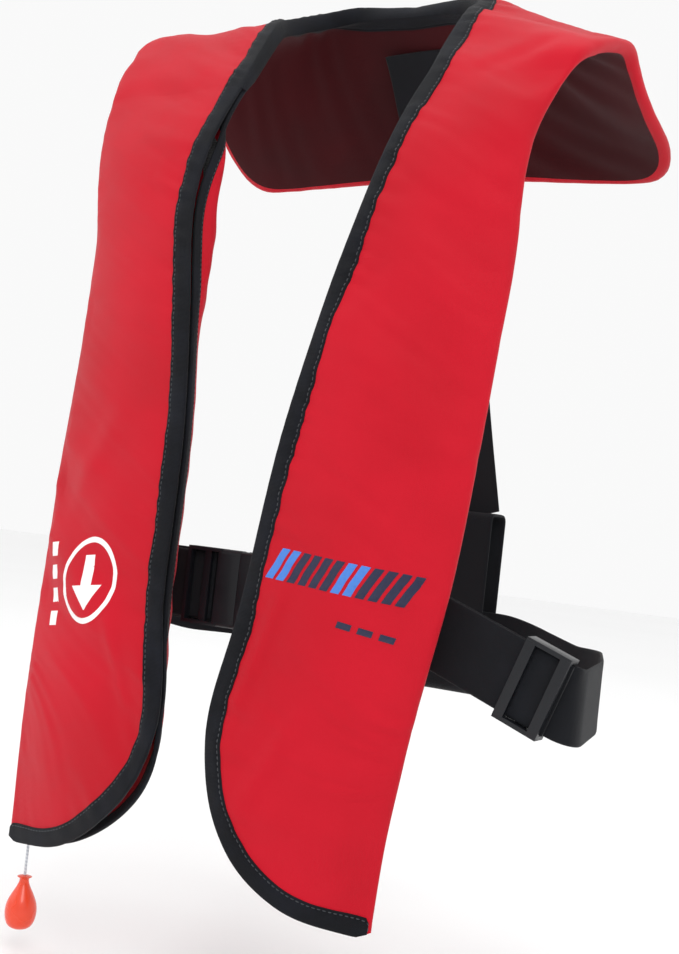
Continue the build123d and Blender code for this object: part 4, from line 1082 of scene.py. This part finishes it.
for node, name, radius, body in (("buckle_plug", "plug_frame", .0009, "plug"),
                                 ("buckle_prong_upper", "plug_prong_upper", .0007, "prong_upper"),
                                 ("buckle_prong_lower", "plug_prong_lower", .0007, "prong_lower"),
                                 ("buckle_socket", "socket_body", .0011, "jacket"),
                                 ("belt_slider", "slider_frame", .0012, "slider")):
    softened(node, name, radius, body, black_acetal, 3)

# ---- closing tape ----------------------------------------------------------
# Hook tape sewn inside the flap's edge and loop tape on the cloth behind it; a pull
# opens them from the bottom up.
TAPE_NEAR, TAPE_FAR, TAPE_THICK = .0132, .0288, .0008
TAPE_SET_IN = CLOTH_THICK + .0001
TAPE_TOP, TAPE_LOW = -.092, -.500


def tape_finish():
    finish, shader, place = new_finish("black_hook_tape", Sheen_Weight=.6, Sheen_Roughness=.6)
    hooks = place.noise(1500.0, 1.0, .5)
    rows = (place.part("Z") * 5200).sine() * .5 + .5
    join_finish(shader, relief=hooks + rows * .6, relief_depth=.0005, Roughness=hooks * .1 + .8,
                Base_Color=(hooks * .6 + rows * .3).tint(srgb(12, 12, 14), srgb(48, 49, 54)))
    return finish


black_tape = tape_finish()


def tape_band(rows, grid, up, gap):
    span = slice(*rows)
    distances = np.linspace(TAPE_NEAR, TAPE_FAR, 7)
    places, ups, uv = [], [], []
    for row, lift, run in zip(grid[span], up[span], down_run[span]):
        reach = np.r_[0, np.cumsum(np.linalg.norm(np.diff(row, axis=0), axis=1))]
        places.append(point_on_row(row - lift * gap, reach, distances))
        ups.append(point_on_row(lift, reach, distances))
        uv.append([(d, run) for d in distances])
    return np.array(places), np.array(ups), np.array(uv)


for side, name in ((1, "left"), (-1, "right")):
    low, join, top = (height_row(side, z) for z in (TAPE_LOW, FLAP_BLEND_END, TAPE_TOP))
    upper_band = tape_band(lobe_span(side, join, top), skin, skin_normals, TAPE_SET_IN)
    lower_band = tape_band(lobe_span(side, low, join), skin, skin_normals, TAPE_SET_IN)
    loop_band = tape_band(lobe_span(side, low, top), rear, rear_normals, TAPE_SET_IN)
    upper = cloth_piece(f"hook_tape_upper_{name}", *upper_band, black_tape, TAPE_THICK)
    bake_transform(upper)
    lower = cloth_piece(f"hook_tape_lower_{name}", *lower_band, black_tape, TAPE_THICK)
    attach(lower, f"flap_{name}")
    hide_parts(f"hook_tape_{name}")
    loop = cloth_piece(f"loop_strip_{name}", *loop_band, black_tape, TAPE_THICK)
    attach(loop, "jacket")
    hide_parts(f"loop_tape_{name}")

# ---- bladder ---------------------------------------------------------------
# Yellow coated-nylon bladder, flat-folded lengthwise into each lobe and under the
# collar, with its layers lying one over another.
BLADDER_NEAR, BLADDER_INSET, BLADDER_DEEP, BLADDER_LEAST = .038, .016, .022, .004
BLADDER_TOP, BLADDER_LOW = -.098, -.556
POCKET_X, POCKET_HALF, POCKET_LOW, POCKET_HIGH, POCKET_THICK = -.091, .037, -.548, -.344, .0016
FOLD_WIDE, FOLD_DEEP = .0235, .0022


def coated_nylon():
    finish, shader, place = new_finish("yellow_coated_nylon", Sheen_Weight=.1, Coat_Roughness=.3)
    grid_x, grid_z = (place.part("X") * 5700).sine(), (place.part("Z") * 5700).sine()
    crumple = place.noise(55.0, 4.0, .6)
    rub = place.noise(9.0, 2.0, .5)
    join_finish(shader, relief=grid_x * grid_z * .12 + crumple * 2.2, relief_depth=.0009,
                Roughness=rub.step(.3, .7, .42, .55), Base_Color=(crumple * .5 + rub * .5).tint(
                    srgb(228, 176, 10), srgb(247, 208, 30)))
    return finish


yellow_nylon = coated_nylon()


def bladder_grids(side):
    heights = np.linspace(BLADDER_LOW, BLADDER_TOP, 190)
    across = np.linspace(0, 1, 56)
    near = along(heights, INNER_SMOOTH[side]) + BLADDER_NEAR
    far = along(heights, OUTER_SMOOTH[side]) - BLADDER_INSET
    x = side * (near[:, None] + (far - near)[:, None] * across)
    z = np.repeat(heights[:, None], len(across), 1)
    behind = lobe_depth(side, x, z, rear=True) - .0048 - .002 * soft_step(z, -.2, -.12)
    ahead = np.minimum(lobe_depth(side, x, z) + BLADDER_DEEP, behind - BLADDER_LEAST)
    ahead = np.maximum(ahead, lobe_depth(side, x, z) + .0052)
    behind = np.maximum(behind, ahead + .0008)
    if side < 0:
        off = np.maximum(np.abs(x - POCKET_X) - POCKET_HALF, np.maximum(POCKET_LOW - z, z - POCKET_HIGH))
        pocket = soft_step(-off, -.001, .008)
        ahead = ahead + (behind - POCKET_THICK - ahead) * pocket
    else:
        pocket = np.zeros_like(x)
    layer = (np.abs(x) % FOLD_WIDE) / FOLD_WIDE
    step = np.where(layer < .8, layer / .8, (1 - layer) / .2)
    ahead += FOLD_DEEP * step * (1 - pocket) * np.clip((behind - ahead) / .008, 0, 1)
    ahead += .0006 * ripples(x, z, 71 + side, .05, .12) * (1 - pocket)
    rim_across = np.minimum(across, 1 - across)[None] * 9
    rim = np.minimum(rim_across, np.minimum(z - BLADDER_LOW, BLADDER_TOP - z) / .012)
    close = 1 - np.sqrt(np.clip(1 - (1 - np.clip(rim, 0, 1)) ** 2, 0.01, 1))
    middle = (ahead + behind) / 2
    ahead, behind = ahead + (middle - ahead) * close, behind + (middle - behind) * close
    front, back = np.stack([x, ahead, z], -1), np.stack([x, behind, z], -1)
    uv = np.stack([x, z], -1)
    return (front, back, uv) if side > 0 else (front[:, ::-1], back[:, ::-1], uv[:, ::-1])


bladders = {}
for side, name in ((1, "left"), (-1, "right")):
    front, back, uv = bladder_grids(side)
    bladders[side] = front if side > 0 else front[:, ::-1]
    lobe_pad = recalculated(cloth_piece(f"folded_bladder_{name}", front, None, uv, yellow_nylon, inside=back))
    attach(lobe_pad, "jacket")
    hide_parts(f"bladder_{name}")
span = (slice(seam_rows[1] + 6, seam_rows[-1] - 5), slice(9, COLUMNS - 4))
collar_pad = cloth_piece("folded_bladder_collar", (skin * .66 + rear * .34)[span], None, wrap_uv[span],
                         yellow_nylon, inside=(skin * .4 + rear * .6)[span])
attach(collar_pad, "jacket")
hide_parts("bladder_collar")

# ---- what is fixed to the bladder ------------------------------------------
# Silver retroreflective panels with rounded corners, and a sewn webbing becket for
# lifting the wearer.


def bladder_depth(side, x, z):
    grid = bladders[side]
    row = int(np.argmin(np.abs(grid[:, 0, 2] - z)))
    order = np.argsort(grid[row, :, 0])
    return float(np.interp(x, grid[row, order, 0], grid[row, order, 1]))


def silver_finish():
    finish, shader, place = new_finish("silver_reflective", Coat_Roughness=.25)
    cell_x, cell_z = (place.part("X") * 1900).sine(), (place.part("Z") * 1900).sine()
    cells = abs(cell_x * cell_z).step(0, .25)
    rub = place.noise(40.0, 3.0, .6)
    join_finish(shader, relief=cells + rub, relief_depth=.0002, Metallic=cells * .3 + .5,
                Roughness=rub * .2 + .25,
                Base_Color=(cells * .6 + rub * .4).tint((.42, .43, .45), (.8, .81, .82)))
    return finish


silver_sheet = silver_finish()
PANEL_X, PANEL_Z, PANEL_WIDE, PANEL_TALL = .118, -.170, .046, .092
for side, name in ((1, "left"), (-1, "right")):
    xs, zs = np.linspace(-.5, .5, 25) * PANEL_WIDE, np.linspace(-.5, .5, 47) * PANEL_TALL
    x, z = np.meshgrid(xs, zs)
    edge_x, edge_z = PANEL_WIDE / 2 - np.abs(x), PANEL_TALL / 2 - np.abs(z)
    pull = np.clip(.005 - np.minimum(edge_x, edge_z), 0, .005)
    corner = np.clip(.006 - edge_x, 0, .006) * np.clip(.006 - edge_z, 0, .006) / .006
    x = x * (1 - corner / (PANEL_WIDE / 2) * .5) + side * PANEL_X
    z = z * (1 - corner / (PANEL_TALL / 2) * .5) + PANEL_Z
    y = np.array([[bladder_depth(side, a, b) for a, b in zip(*pair)] for pair in zip(x, z)])
    y = y - .0007 + pull * .06
    grid = np.stack([x, y, z], -1)
    up = np.broadcast_to(np.array([0, -1.0, 0]), grid.shape)
    panel = cloth_piece(f"silver_panel_{name}", grid, up, np.stack([x, z], -1), silver_sheet, .0004)
    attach(panel, "jacket")
    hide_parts(f"reflective_panel_{name}")

BECKET_X, BECKET_Z, BECKET_WEB = .106, -.506, .009
BECKET_HALF_WIDE, BECKET_HALF_TALL, BECKET_BEND = .0105, .0375, .006
becket_plan = even_line(box_path(0, BECKET_HALF_WIDE, -BECKET_HALF_WIDE, BECKET_HALF_TALL, -BECKET_HALF_TALL,
                                 BECKET_BEND), 120)[:-1]
becket_line = np.array([(BECKET_X + a, bladder_depth(1, BECKET_X + a, BECKET_Z + b) - .0016, BECKET_Z + b)
                        for a, b in becket_plan])
for _ in range(6):
    depths = becket_line[:, 1]
    becket_line[:, 1] = (np.roll(depths, 1) + 2 * depths + np.roll(depths, -1)) / 4
middle = becket_line.mean(0)
becket = webbing("lifting_loop", becket_line, (becket_line - middle) * [1, 0, .25], BECKET_WEB, closed=True)
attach(becket, "jacket")
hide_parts("lifting_becket")

# ---- hardware --------------------------------------------------------------
# Manual and automatic inflator with its steel gas cylinder, the oral tube with its
# sprung valve, and a whistle, all moulded or turned parts.


def metal_finish(name, dark, light, rough, metallic=1.0, turned=2200.0):
    finish, shader, place = new_finish(name, Coat_Roughness=.2)
    brushed = (place.part("Z") * turned).sine() * .5 + .5
    stain = place.noise(60.0, 3.0, .6)
    join_finish(shader, relief=brushed + stain, relief_depth=.00005, Roughness=stain * .2 + rough,
                Metallic=stain * .1 + (metallic - .1),
                Base_Color=(brushed * .3 + stain * .6).tint(dark, light))
    return finish


def clear_finish(name, dark, light):
    finish, shader, place = new_finish(name, Transmission_Weight=.55, IOR=1.45)
    cloud = place.noise(80.0, 2.0, .5)
    join_finish(shader, relief=cloud, relief_depth=.0002, Roughness=cloud * .15 + .2,
                Base_Color=cloud.tint(dark, light))
    return finish


FINISHES = {
    "zinc_steel": (metal_finish("zinc_steel", (.33, .34, .36), (.6, .61, .63), .28), (
        "lever_pin", "piercing_pin", "return_spring", "manifold_stem", "valve_spring")),
    "gas_steel": (metal_finish("green_zinc_steel", srgb(120, 128, 110), srgb(164, 170, 150), .3), (
        "gas_cylinder",)),
    "grey_nylon": (moulded_finish("grey_glass_nylon", srgb(74, 78, 84), srgb(104, 108, 114), .46), (
        "inflator_body", "cap_nut")),
    "yellow_cap": (moulded_finish("yellow_moulding", srgb(214, 160, 12), srgb(240, 190, 30), .36), (
        "cartridge_cap",)),
    "white_tablet": (moulded_finish("white_cartridge", srgb(214, 214, 208), srgb(238, 238, 234), .6, .0003), (
        "cartridge",)),
    "seal_rubber": (moulded_finish("black_rubber", srgb(20, 20, 21), srgb(38, 38, 40), .75, .0002), (
        "stem_washer_rear", "stem_washer_front")),
    "clear_tube": (clear_finish("milky_tube", srgb(196, 200, 200), srgb(226, 228, 226)), ("oral_tube",)),
    "black_valve": (black_acetal, ("valve_seat",)),
}
for finish, nodes in FINISHES.values():
    for node in nodes:
        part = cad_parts[node]
        part.data.materials.clear()
        part.data.materials.append(finish)
toggle_plastic = moulded_finish("orange_red_grip", srgb(214, 50, 18), srgb(238, 74, 30), .3, .00008,
                                Coat_Weight=.25, Subsurface_Weight=.08)
for node in ("pull_toggle", "valve_plunger"):
    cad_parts[node].data.materials.clear()
    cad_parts[node].data.materials.append(toggle_plastic)
softened("manual_lever", "manual_lever_arm", .0005, "lever", toggle_plastic)
softened("dust_cap", "valve_dust_cap", .0006, "dust_cover", black_acetal)
whistle_plastic = moulded_finish("orange_whistle", srgb(226, 96, 16), srgb(246, 128, 34), .34, .00008,
                                 Coat_Weight=.2)
softened("whistle", "safety_whistle", .0006, "jacket", whistle_plastic)
